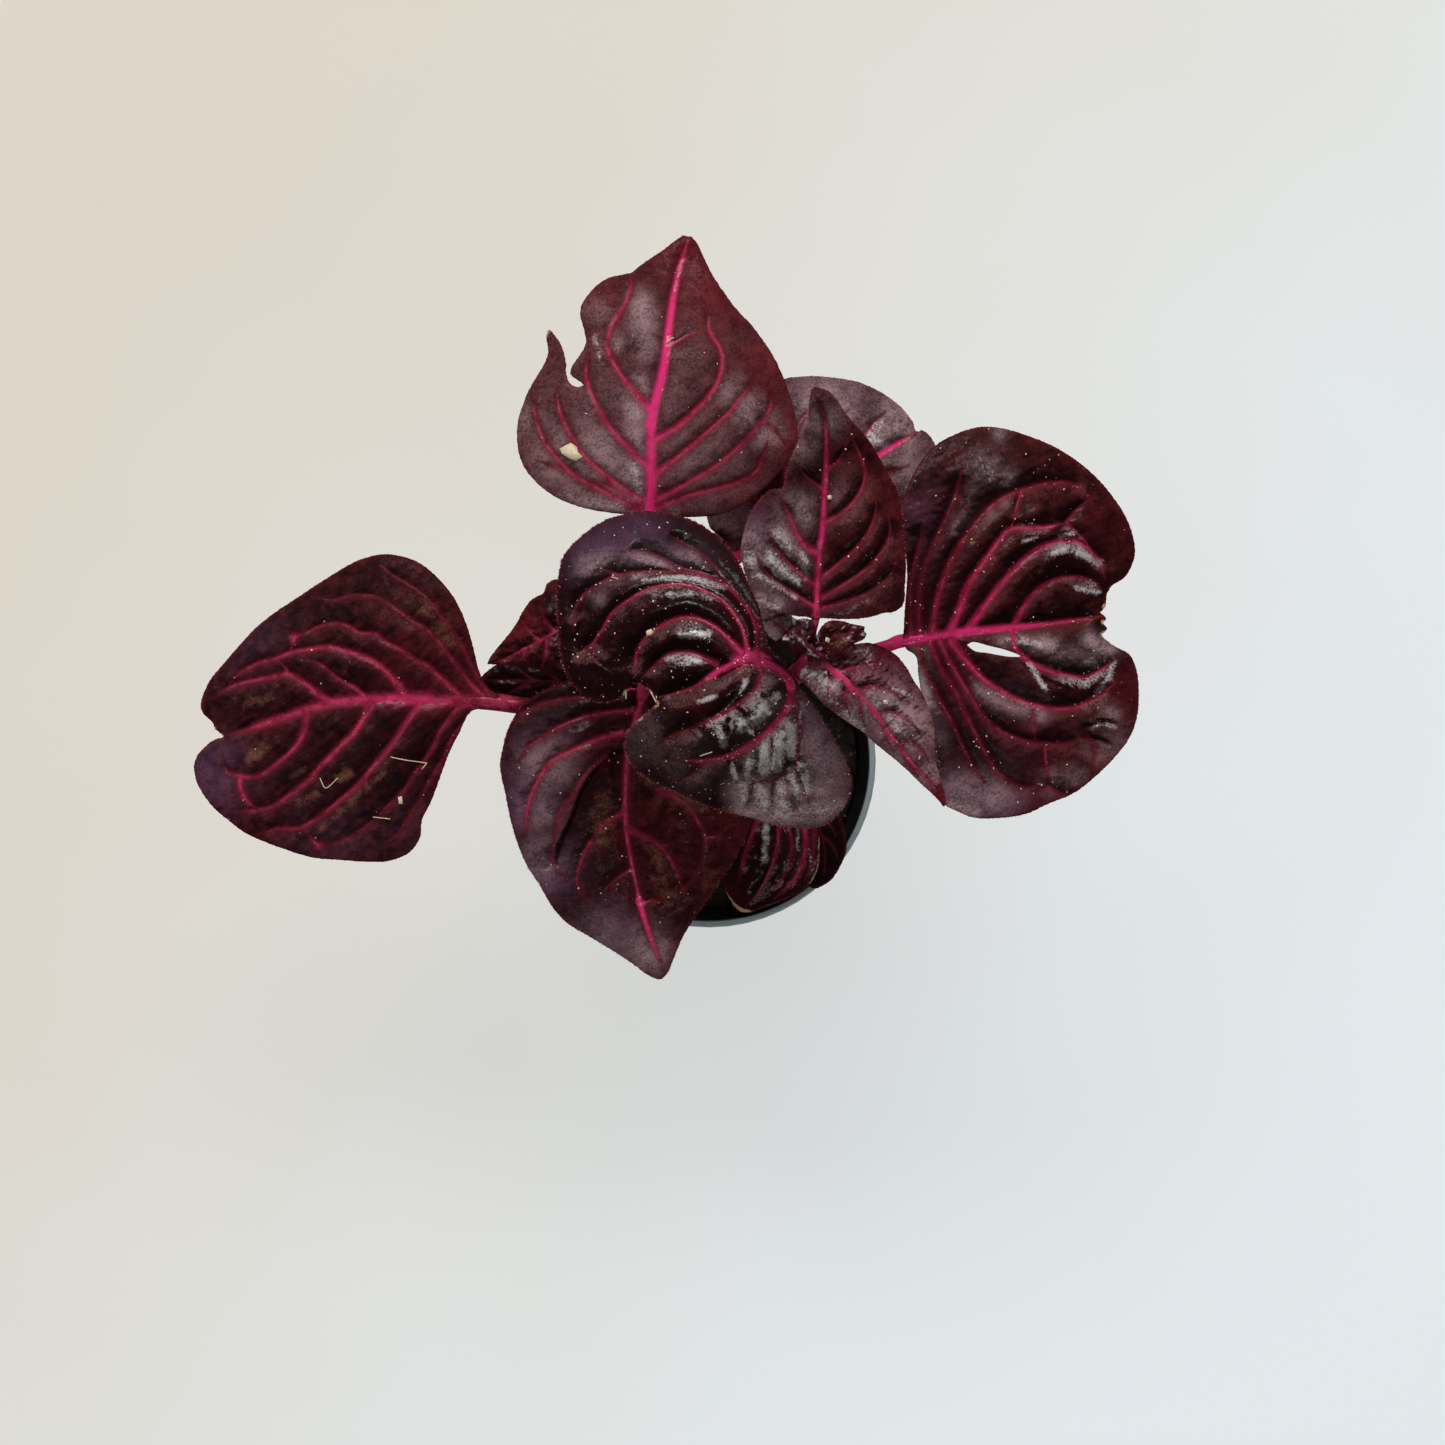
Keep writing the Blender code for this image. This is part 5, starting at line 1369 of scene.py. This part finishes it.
# Crown leaf that points to the lower right: small, purple-maroon, creased beside its midrib.
# It shares its node on the main stem with the crown leaf that points up.
grow_leaf(
    "leaf_crown_lower", "main", 109.0, 0.85, [(824, 670, 113.5), (825, 668, 115.8)],
    margin=[
        [(832, 651), (842, 648), (855, 644), (870, 643), (880, 646), (895, 654), (907, 668), (914, 681),
         (921, 691), (928, 706), (933, 722), (935, 740), (935, 756), (939, 773), (945, 795), (946, 803)],
        [(944, 807), (939, 801)],
        [(930, 792), (921, 784), (907, 770), (892, 757), (877, 745), (868, 737), (863, 732)],
        [(854, 726), (842, 718), (826, 706), (811, 690), (797, 676), (803, 668), (812, 661), (822, 656)],
    ],
    knots=[
        (824, 665, 117.2), (841, 676, 118), (868, 703, 117), (898, 744, 113), (944, 805, 105),
        (830, 655, 117.5), (848, 647, 117), (872, 644, 116), (895, 654, 114), (914, 681, 112),
        (933, 722, 110), (938, 762, 107.5), (945, 792, 105.5), (808, 668, 117), (797, 674, 116.5),
        (811, 690, 115), (842, 718, 114), (863, 732, 112), (892, 757, 110), (921, 784, 107.5),
        (885, 680, 116.2), (838, 695, 117),
    ],
    midrib=(2.9, 0.74, [(824, 662), (841, 676), (855, 690), (868, 703), (882, 722), (898, 744),
                        (914, 765), (929, 781), (942, 801)]),
    veins=[
        (1.6, 0.46, [(838, 673), (852, 668), (868, 664), (884, 664)]),
        (1.4, 0.40, [(856, 690), (872, 686), (890, 690), (903, 700)]),
        (1.4, 0.38, [(876, 714), (892, 712), (908, 720), (920, 734)]),
        (1.2, 0.32, [(897, 743), (910, 742), (922, 750), (929, 762)]),
        (1.6, 0.46, [(834, 672), (828, 684), (828, 697)]),
        (1.4, 0.40, [(848, 684), (845, 700), (850, 716)]),
        (1.4, 0.36, [(862, 697), (861, 712), (866, 728)]),
        (1.2, 0.32, [(884, 724), (886, 738), (894, 752)]),
        (1.0, 0.30, [(904, 752), (908, 764), (918, 776)]),
    ],
    depth=0.55, pillow=5.5, unevenness=0.11, gloss_all=0.15, red_all=0.85, stalk_glow=0.45,
    grooves=[(0.7, 2.6, [(850, 688), (857, 702), (862, 716), (864, 734)])],
    folds=[(0.5, 10.0, [(846, 684), (855, 698), (861, 715), (864, 732)])],
    red=[(830, 690, 26, 0.7), (900, 740, 40, 0.5)],
    purple=[(890, 710, 40, 0.85), (870, 740, 50, 0.8), (846, 715, 862, 731, 10, 1.0), (830, 690, 24, 0.7),
            (920, 760, 24, 0.5)],
    grey=[(826, 685, 16, 1.0), (855, 722, 16, 0.8), (880, 705, 915, 730, 26, 0.95), (862, 656, 10, 0.6),
          (905, 745, 20, 0.9), (930, 772, 12, 0.8)],
    pale=[(806, 674, 828, 682, 7, 1.1), (822, 690, 840, 704, 8, 0.7), (846, 712, 862, 729, 6, 0.95),
          (876, 706, 896, 722, 908, 745, 7, 0.55), (834, 664, 850, 660, 3, 0.7),
          (856, 652, 868, 650, 3, 1.0), (850, 662, 866, 661, 3, 0.8), (888, 686, 912, 696, 3, 0.8)],
    gloss=[(820, 682, 20, 1.0), (860, 655, 12, 1.0), (855, 722, 14, 0.9)],
    curl=0.25, grain=1.3,
)


# Leaf behind the crown: greyer and duller than the rest, mostly hidden under its neighbours.
# It grows from the upper half of the side stem.
grow_leaf(
    "leaf_rear", "side", 81.0, 0.9, [(690, 583, 82.5), (720, 567, 84)],
    margin=[
        [(733, 550), (725, 540), (715, 532), (708, 522), (702, 480), (715, 430), (745, 395), (784, 379),
         (797, 377), (815, 376), (837, 378), (858, 382), (875, 389), (890, 398), (902, 408), (913, 422)],
        [(916, 431), (922, 430)],
        [(928, 434), (935, 444), (938, 455), (925, 490), (885, 530), (830, 560), (775, 565), (755, 560)],
        [(748, 560), (742, 556)],
    ],
    knots=[
        (748, 549, 85), (800, 505, 87), (877, 456, 86), (916, 433, 83), (725, 540, 85), (708, 522, 85),
        (702, 480, 85), (715, 430, 84.5), (745, 395, 84), (784, 379, 83.5), (815, 376, 83),
        (858, 382, 82.5), (890, 398, 82), (910, 418, 82), (775, 565, 84.5), (830, 560, 84),
        (885, 530, 83), (925, 490, 82), (938, 455, 81.5), (926, 433, 82), (790, 440, 87),
        (860, 500, 86.3), (850, 420, 85.5),
    ],
    midrib=(7.4, 1.6, [(748, 549), (775, 525), (800, 505), (840, 478), (877, 456), (895, 445),
                       (916, 433)]),
    veins=[
        (2.6, 0.45, [(765, 534), (757, 505), (750, 470), (755, 440)]),
        (2.6, 0.45, [(790, 513), (785, 480), (790, 445), (805, 415), (822, 397)]),
        (2.6, 0.45, [(825, 488), (825, 460), (832, 430), (850, 408)]),
        (2.4, 0.42, [(858, 467), (862, 445), (872, 425), (885, 412)]),
        (2.4, 0.45, [(728, 545), (720, 537), (712, 528)]),
        (2.4, 0.40, [(780, 522), (810, 530), (840, 530)]),
        (2.4, 0.40, [(815, 496), (850, 505), (880, 500)]),
        (2.4, 0.40, [(855, 469), (885, 473), (910, 465)]),
    ],
    depth=0.8, pillow=9.0, unevenness=0.03, gloss_all=0.1, red_all=0.2,
    purple=[(820, 400, 70, 0.3), (720, 520, 40, 0.6)],
    grey=[(830, 410, 40, 0.9), (890, 432, 34, 1.1), (814, 412, 18, 1.5), (900, 470, 26, 0.8),
          (718, 522, 26, 1.5)],
    pale=[(868, 436, 884, 446, 8, 0.95), (808, 408, 818, 418, 9, 0.7), (720, 520, 735, 525, 7, 0.5)],
    dark=[(800, 380, 860, 384, 10, 0.8)],
    gloss=[(875, 428, 14, 0.8)],
)


# Brown-red leaf behind the middle one, with its point to the left. It shares its node on the
# side stem with the grey leaf behind the crown.
grow_leaf(
    "leaf_rear_left", "side", 79.0, 0.8, [(620, 610, 82), (600, 617, 84)],
    margin=[
        [(580, 600), (570, 585), (557, 579), (547, 584), (543, 593), (531, 600), (523, 611), (516, 624),
         (508, 635), (499, 646), (491, 656), (487, 664)],
        [(500, 665), (518, 665), (538, 670), (555, 676), (572, 676), (588, 668), (594, 645), (590, 628)],
        [(589, 620), (586, 612)],
    ],
    knots=[
        (582, 622, 85), (554, 633, 86), (521, 651, 85), (488, 665, 82.5), (594, 640, 84),
        (588, 668, 83.5), (560, 677, 83.5), (520, 667, 83), (580, 600, 84.5), (560, 582, 84),
        (547, 585, 84), (516, 624, 83), (496, 649, 82.5), (550, 605, 86), (560, 655, 85.5),
    ],
    midrib=(3.0, 0.6, [(584, 620), (569, 626), (554, 633), (538, 642), (521, 651), (504, 659),
                       (490, 664)]),
    veins=[
        (2.0, 0.40, [(572, 625), (562, 610), (556, 594)]),
        (2.0, 0.40, [(556, 632), (545, 620), (540, 607)]),
        (2.0, 0.40, [(540, 641), (530, 632), (523, 622)]),
        (2.0, 0.38, [(566, 628), (568, 645), (566, 665)]),
        (2.0, 0.38, [(546, 638), (546, 652), (542, 666)]),
        (1.8, 0.35, [(525, 649), (522, 658), (515, 664)]),
    ],
    depth=0.7, pillow=6.0, unevenness=0.08, gloss_all=0.15,
    red=[(525, 625, 26, 0.6)],
    grain=1.4,
    dark=[(545, 670, 18, 0.5)],
)


# Dark leaf low on the left, under the brown-red one: its plain black is painted shade, for the
# deep shade it lies in. It grows from the side stem, a little over the pot.
grow_leaf(
    "leaf_low_left", "side", 63.0, 0.8, [(640, 694, 66), (600, 688, 68)],
    margin=[
        [(566, 661), (550, 656), (535, 655), (515, 658), (498, 664), (486, 672), (479, 680)],
        [(490, 690), (505, 698), (522, 704), (540, 706), (555, 704), (568, 699), (580, 690)],
        [(583, 683), (580, 676)],
    ],
    knots=[
        (572, 684, 69), (540, 681, 70), (500, 680, 69), (478, 680, 68), (566, 700, 68.5),
        (540, 706, 68.5), (505, 698, 68.5), (566, 660, 68.5), (535, 655, 68.5), (498, 664, 68.5),
    ],
    midrib=(2.0, 0.1, [(576, 683), (560, 682), (540, 681), (520, 680.5), (500, 680), (483, 680)]),
    veins=[
        (1.4, 0.05, [(560, 682), (548, 672), (535, 662)]),
        (1.4, 0.05, [(535, 681), (522, 672), (512, 664)]),
        (1.4, 0.05, [(555, 682), (545, 692), (530, 700)]),
        (1.4, 0.05, [(530, 681), (518, 688), (508, 694)]),
    ],
    depth=0.5, pillow=6.0, unevenness=0.05, gloss_all=0.15, dark_all=1.0,
)


# Small leaf in the gap between the top leaf and the middle one: a dark, ragged edge shows.
# It grows from the middle of the side stem.
grow_leaf(
    "leaf_under_top", "side", 74.5, 0.6, [(680, 590, 77), (698, 580, 78)],
    margin=[
        [(700, 566), (703, 556), (706, 545), (711, 535), (718, 531), (726, 526), (733, 528), (740, 530)],
        [(746, 537), (747, 552), (742, 562), (731, 569), (714, 578)], [(710, 579), (706, 577)],
    ],
    knots=[
        (708, 572, 78.5), (722, 552, 79.5), (738, 530, 79), (703, 556, 78.5), (712, 535, 78.5),
        (726, 526, 78.5), (730, 568, 78.5), (746, 552, 78.5), (748, 535, 78.5),
    ],
    midrib=(2.4, 0.5, [(708, 574), (715, 562), (722, 552), (730, 541), (738, 532)]),
    veins=[
        (1.6, 0.35, [(716, 561), (712, 552), (712, 542)]),
        (1.6, 0.35, [(718, 557), (728, 558), (738, 553)]),
    ],
    depth=0.4, pillow=5.0, unevenness=0.06, gloss_all=0.2, grey_all=0.5, grain=1.2,
)


# Young leaf under the crown, small and greyish, on a thin stalk between the main stem's two
# top pairs of leaves.
grow_leaf(
    "leaf_young", "main", 107.5, 0.4, [(796, 652, 113), (793, 646, 116)],
    margin=[
        [(769, 636), (764, 627), (761, 615), (761, 605), (768, 600)],
        [(780, 603), (791, 609), (792, 616), (793, 624), (797, 629)], [(788, 634), (776, 641)],
    ],
    knots=[
        (788, 635, 117.3), (780, 620, 118.0), (770, 603, 117.4), (777, 640, 117), (767, 630, 117),
        (762, 612, 117), (796, 628, 117), (792, 612, 117.2), (780, 603, 117),
    ],
    midrib=(2.0, 0.2, [(788, 638), (784, 628), (780, 619), (775, 611), (770, 603)]),
    veins=[
        (1.6, 0.2, [(784, 628), (776, 624), (769, 617)]),
        (1.6, 0.2, [(781, 621), (787, 614), (789, 609)]),
        (1.6, 0.2, [(786, 632), (791, 628), (794, 626)]),
    ],
    depth=0.35, pillow=4.5, unevenness=0.06,
    purple=[(785, 620, 30, 0.5)],
    grey_all=0.55, gloss_all=0.2, curl=0.1, grain=1.2, stalk_glow=0.1,
)


# Growing tip: two leaflets that have just opened at the main stem's end, one curled and
# glossy, one red. They have next to no stalk yet.
grow_leaf(
    "bud_leaf_curled", "main", 119.0, 0.3, [(812, 658, 117.5), (813, 657, 118.6)],
    margin=[
        [(815, 659), (807, 655), (800, 650), (794, 646), (788, 643), (782, 641)],
        [(784, 636), (790, 632), (797, 629), (795, 624), (797, 620), (805, 618.5), (812, 620)],
        [(815, 626), (815, 633), (819, 643), (825, 652), (828, 659)], [(826, 660), (824, 660)],
    ],
    knots=[
        (782, 641, 120.9), (789, 640, 121.6), (797, 630, 121.0), (797, 623, 120.9), (806, 620, 121.3),
        (813, 624, 121.0), (816, 638, 121.0), (826, 658, 120.0), (812, 656, 120.0), (800, 649, 120.3),
        (806, 640, 122.3), (807, 630, 122.0), (815, 649, 121.3), (790, 636, 121.2),
    ],
    midrib=(1.6, 0.15, [(824, 657), (815, 650), (807, 643), (803, 634), (803, 623)]),
    veins=[
        (1.2, 0.05, [(812, 648), (803, 645), (793, 641)]),
        (1.2, 0.05, [(805, 640), (798, 637), (790, 637)]),
        (1.2, 0.05, [(804, 634), (811, 632), (814, 627)]),
    ],
    depth=0.5, pillow=3.5, unevenness=0.12, gloss_all=0.7, dark_all=1.0, curl=0.4, grain=0.9,
    stalk_glow=0.0,
    purple=[(806, 624, 8, 0.5), (795, 641, 8, 0.4)],
    pale=[(801, 640, 806, 645, 811, 651, 3, 1.2), (784, 639, 789, 640, 2.4, 1.2),
          (808, 653, 824, 658, 2, 0.9), (803, 631, 2, 1.0)],
)
grow_leaf(
    "bud_leaf_red", "main", 119.0, 0.3, [(817, 655, 117.5), (818, 653, 118.8)],
    margin=[
        [(818, 633), (823, 625), (831, 620.5), (842, 621), (852, 624), (863, 626), (865, 628)],
        [(864, 631), (867, 634)],
        [(864, 639), (856, 643), (849, 648), (842, 651), (830, 652), (822, 648), (819, 640)],
    ],
    knots=[
        (822, 644, 120.6), (842, 636, 121.8), (865, 634, 121), (820, 630, 121), (836, 621, 121.0),
        (850, 624, 121.0), (830, 652, 120.2), (846, 650, 120.4), (858, 643, 120.8), (838, 628, 121.8),
    ],
    midrib=(1.4, 0.10, [(822, 644), (832, 639), (842, 636), (853, 634), (863, 633)]),
    veins=[
        (1.2, 0.2, [(832, 639), (837, 631), (844, 625)]),
        (1.2, 0.1, [(838, 638), (846, 643), (852, 645)]),
        (1.0, 0.1, [(846, 635), (852, 629), (860, 627)]),
    ],
    depth=0.45, pillow=3.5, unevenness=0.08,
    red=[(836, 630, 20, 0.25)],
    brown=[(840, 640, 12, 0.7)],
    gloss_all=0.3, curl=0.2, grain=0.9, stalk_glow=0.1,
    pale=[(863, 634, 2.4, 1.3), (841, 629, 845, 626, 1.4, 0.8)],
)


# Two leaves low in the pot: a glossy ribbed one with a dried tip, and under it a plain dark one
# that lies on the rim, whose black is painted shade, for the middle leaf's shadow. They are the
# main stem's lowest pair.
grow_leaf(
    "leaf_in_pot", "main", 50.5, 0.8, [(745, 785, 54), (765, 790, 56.2)],
    margin=[
        [(764, 800), (738, 815), (722, 850), (724, 885), (733, 904), (741, 912)],
        [(752, 912), (773, 905), (795, 895), (808, 886), (817, 871), (820, 852), (819, 837), (815, 810),
         (803, 793), (790, 790)],
        [(781, 790), (772, 795)],
    ],
    knots=[
        (781, 793, 57.5), (778, 828, 59), (770, 872, 58), (742, 910, 56), (800, 790, 58.2),
        (815, 810, 59.2), (819, 837, 59.3), (817, 871, 59), (808, 886, 58.5), (795, 895, 57.5),
        (773, 904, 56.5), (764, 800, 57.5), (738, 815, 57), (722, 850, 56), (724, 885, 55.5),
        (733, 904, 55.5), (800, 850, 60.2), (745, 860, 58),
    ],
    midrib=(3.6, 0.6, [(781, 793), (781, 812), (779, 828), (777, 848), (770, 871), (758, 893),
                       (743, 909)]),
    veins=[
        (3.4, 0.62, [(786, 795), (800, 810), (805, 831), (805, 852), (798, 874), (787, 887), (773, 900)]),
        (3.0, 0.52, [(776, 797), (763, 812), (755, 827), (750, 840), (743, 861), (739, 881)]),
        (2.0, 0.40, [(792, 797), (811, 815), (814, 840), (812, 862), (804, 882)]),
        (2.0, 0.38, [(773, 799), (750, 815), (735, 840), (730, 865)]),
        (1.8, 0.40, [(781, 815), (791, 835), (791, 855), (784, 875), (768, 895)]),
    ],
    depth=1.1, pillow=6.0, unevenness=0.05,
    red=[(735, 890, 16, 0.3)],
    dark_all=1.0,
    purple=[(800, 850, 40, 0.2)],
    gloss_all=0.45, curl=0.2,
    gloss=[(766, 845, 8, 1.0), (797, 845, 12, 1.0)],
    pale=[(766, 828, 765, 860, 5, 1.1), (797, 830, 798, 850, 3, 0.8), (810, 850, 812, 872, 3, 0.7)],
    dry=[(722, 892, 733, 905, 748, 912, 4, 0.9), (819, 838, 817, 868, 810, 886, 2, 0.6)],
)
grow_leaf(
    "leaf_over_rim", "main", 53.5, 0.7, [(765, 768, 55), (790, 782, 55.5)],
    margin=[
        [(798, 815), (801, 850), (807, 880), (812, 888), (819, 888)],
        [(831, 880), (840, 867), (846, 852), (846, 837), (843, 823), (832, 808), (816, 795)],
        [(808, 792), (800, 796)],
    ],
    knots=[
        (806, 797, 56), (822, 835, 56.8), (826, 878, 56.8), (828, 805, 56), (843, 823, 56.4),
        (846, 850, 56.8), (840, 867, 56.8), (800, 815, 56), (802, 850, 56.4), (808, 884, 56.8),
        (818, 887, 56.8),
    ],
    midrib=(2.0, 0.06, [(806, 797), (813, 812), (820, 830), (825, 852), (824, 876)]),
    veins=[
        (1.2, 0.03, [(814, 815), (828, 822), (836, 836)]),
        (1.2, 0.03, [(821, 835), (832, 845), (838, 858)]),
    ],
    depth=0.25, pillow=6.0, unevenness=0.04, gloss_all=0.12, dark_all=1.0,
)


# Dust and glints: pale and gold grains, 0.1 to 0.4 mm across and most of them small, that lie
# on the leaves, thickest in their sunken veins. They are partly dust and partly painted glints,
# the tiny sparkles of light off the leaves.
DUST_PER_M2 = {
    "leaf_centre": 700000.0, "leaf_right": 260000.0, "leaf_front": 160000.0, "leaf_top": 60000.0,
    "leaf_left": 50000.0, "leaf_crown_upper": 160000.0, "leaf_crown_lower": 300000.0,
}
DUST_SIZES = (0.11, 0.42)
DUST_RARITY = 2.5
DUST_VEIN_REACH = 2.5
DUST_AWAY_SHARE = 0.22
DUST_GLINT_PALE = (0.66, 0.60, 0.55)
DUST_GLINT_GOLD = (0.60, 0.36, 0.13)
dust_and_glints = Finish("leaf_dust")
# Pale and gold: partly the colour of dust, partly painted glints.
dust_and_glints.set(Base_Color=dust_and_glints.blend(dust_and_glints.attribute("gold"), DUST_GLINT_PALE, DUST_GLINT_GOLD), Roughness=0.6)
dust_tray = bpy.data.collections.new("grain_tray")
pebble(dust_tray, "speck", (1, 1, 0.6))
for name, per_m2 in DUST_PER_M2.items():
    scatter = Weave(f"dust_on_{name}")
    crowding = scatter.size("Grains per square metre", per_m2)
    smallest = scatter.size("Smallest grain", DUST_SIZES[0])
    largest = scatter.size("Largest grain", DUST_SIZES[1])
    near = scatter.add("ShaderNodeMapRange", {},
                       {"Value": scatter.number("vein"), "From Max": DUST_VEIN_REACH, "To Min": 1.0,
                        "To Max": DUST_AWAY_SHARE})
    crowding = scatter.add("ShaderNodeMath", {"operation": "MULTIPLY"}, {0: crowding, 1: near})
    spots = scatter.spread(scatter.compare(scatter.number("under"), "LESS_THAN", 0.25), crowding, 11)
    grains = scatter.strew(spots, dust_tray, smallest, largest, DUST_RARITY, "gold")
    scatter.grow_on(leaves[name], grains, dust_and_glints, f"{name}_dust", "leaf")


# Margin hairs: the short pale bristles that fringe the edges of the middle leaf, the front
# one and the upper crown one, each a thin three-sided cone that stands out from the rim.
HAIRS_PER_M2 = {"leaf_centre": 22000000.0, "leaf_front": 7000000.0, "leaf_crown_upper": 7000000.0}
HAIR_LENGTH = 0.42
HAIR_THICKNESS = 0.035
HAIR_ROSE = (0.34, 0.15, 0.17, 1.0)
bristle = Finish("leaf_bristle")
bristle.set(Base_Color=HAIR_ROSE, Roughness=0.5)
for name, per_m2 in HAIRS_PER_M2.items():
    fringe = Weave(f"hairs_on_{name}")
    crowding = fringe.size("Hairs per square metre", per_m2)
    length = fringe.size("Hair length", HAIR_LENGTH * MM)
    thickness = fringe.size("Hair thickness", HAIR_THICKNESS * MM)
    roots = fringe.spread(fringe.compare(fringe.number("edge"), "LESS_THAN", 0.2), crowding, 5)
    spike = fringe.add("GeometryNodeMeshCone", {},
                       {"Vertices": 3, "Radius Top": 0.0, "Radius Bottom": thickness, "Depth": length})
    lean = fringe.draw((-0.7, -0.7, 0), (0.7, 0.7, TAU), 6)
    lean = fringe.add("FunctionNodeEulerToRotation", {}, {0: lean})
    size = fringe.draw(0.5, 1.2, 7)
    turn = fringe.add("FunctionNodeRotateRotation", {"rotation_space": "LOCAL"},
                      {"Rotation": roots.node.outputs["Rotation"], "Rotate By": lean})
    hairs = fringe.add("GeometryNodeInstanceOnPoints", {},
                       {"Points": roots, "Instance": spike, "Rotation": turn, "Scale": size})
    fringe.grow_on(leaves[name], hairs, bristle, f"{name}_hairs", "leaf")


# Scraps: chips and threads of dry straw and husk that have fallen on the leaves. A chip is a
# thin cupped flake, and a thread a fine rod.
STRAW_CHIPS = {
    "leaf_top": [[(560, 449), (571, 443), (577, 447), (578, 452), (583, 457), (576, 461), (570, 459),
                  (562, 454)]],
    "leaf_centre": [[(646, 631), (651, 629), (654, 632), (651, 635), (647, 636)]],
    "leaf_left": [[(398, 797), (402, 796), (403, 804), (399, 804)]],
    "leaf_crown_upper": [[(827, 496), (831, 495), (832, 499), (828, 500)]],
    "leaf_crown_lower": [[(883, 700), (887, 700), (888, 704), (884, 704)],
                         [(823, 672), (827, 671), (827, 675)]],
    "bud_leaf_red": [[(826, 637), (830, 639), (829, 643), (825, 641)]],
}
STRAW_THREADS = {
    "leaf_left": [[(391, 757), (405, 760), (427, 763)], [(427, 763), (422, 769)],
                  [(320, 778), (326, 788), (338, 778)], [(373, 817), (390, 819)]],
    "leaf_top": [[(667, 343), (671, 339), (674, 338)]],
    "leaf_centre": [[(626, 692), (626, 699)], [(651, 692), (656, 702)], [(612, 577), (618, 579)],
                    [(700, 756), (712, 752)]],
}
CHIP_THICK = 0.14
CHIP_LIFT = 0.22
CHIP_CUP = 0.12
THREAD_RADIUS = 0.085
THREAD_SIDES = 6
THREAD_STEP = 0.3
STRAW_BROWN = (0.34, 0.22, 0.10)
STRAW_PALE = (0.78, 0.66, 0.46)


def resting_on(leaf, places):
    """Points, in millimetres, on top of a leaf at these places of the plan view."""
    corners = np.empty(len(leaf.data.vertices) * 3)
    leaf.data.vertices.foreach_get("co", corners)
    corners = corners.reshape(-1, 3) / MM
    scale = PLAN_FOCAL / (EYE[2] - corners[:, 2])
    column = (corners[:, 0] - EYE[0]) * scale + PLAN_MIDDLE
    row = PLAN_MIDDLE - (corners[:, 1] - EYE[1]) * scale
    heights = []
    for x, y in places:
        far = np.hypot(column - x, row - y)
        heights.append(corners[far < max(2.2, far.min() + 0.5), 2].max())
    return in_space(np.asarray(places, float), np.array(heights))


def chip(ring, hub):
    """A flake's points and faces, from the ring round it and the middle, both on the leaf."""
    ring[:, 2] = 0.5 * (ring[:, 2] + hub[2]) + CHIP_LIFT + CHIP_CUP * np.sin(np.arange(len(ring)) * 2.1)
    hub[2] = max(hub[2], ring[:, 2].mean() - CHIP_LIFT) + CHIP_CUP
    upper = np.concatenate([ring, [hub]])
    count = len(ring)
    under = count + 1
    faces = []
    for k in range(count):
        after = (k + 1) % count
        faces.append((k, count, after))
        faces.append((under + after, under + count, under + k))
        faces.append((k, after, under + after, under + k))
    return np.concatenate([upper, upper - [0, 0, CHIP_THICK]]), faces


husk = Finish("straw_scrap")
husk_streaks = husk.noise(husk.places(), 1500.0, 3.0)
husk.set(Base_Color=husk.blend(husk_streaks, STRAW_BROWN, STRAW_PALE), Roughness=0.55)
scraps = Shape()
for name, chips in STRAW_CHIPS.items():
    for outline in chips:
        ring = resting_on(leaves[name], outline)
        hub = resting_on(leaves[name], [np.mean(outline, axis=0)])[0]
        scraps.add(*chip(ring, hub))
for name, threads in STRAW_THREADS.items():
    for route in threads:
        line = smooth_line(resting_on(leaves[name], route) + [0, 0, THREAD_RADIUS], THREAD_STEP)
        scraps.add(*tube(line, np.full(len(line), THREAD_RADIUS), THREAD_SIDES))
scraps.piece("straw_scraps", husk, "leaf")
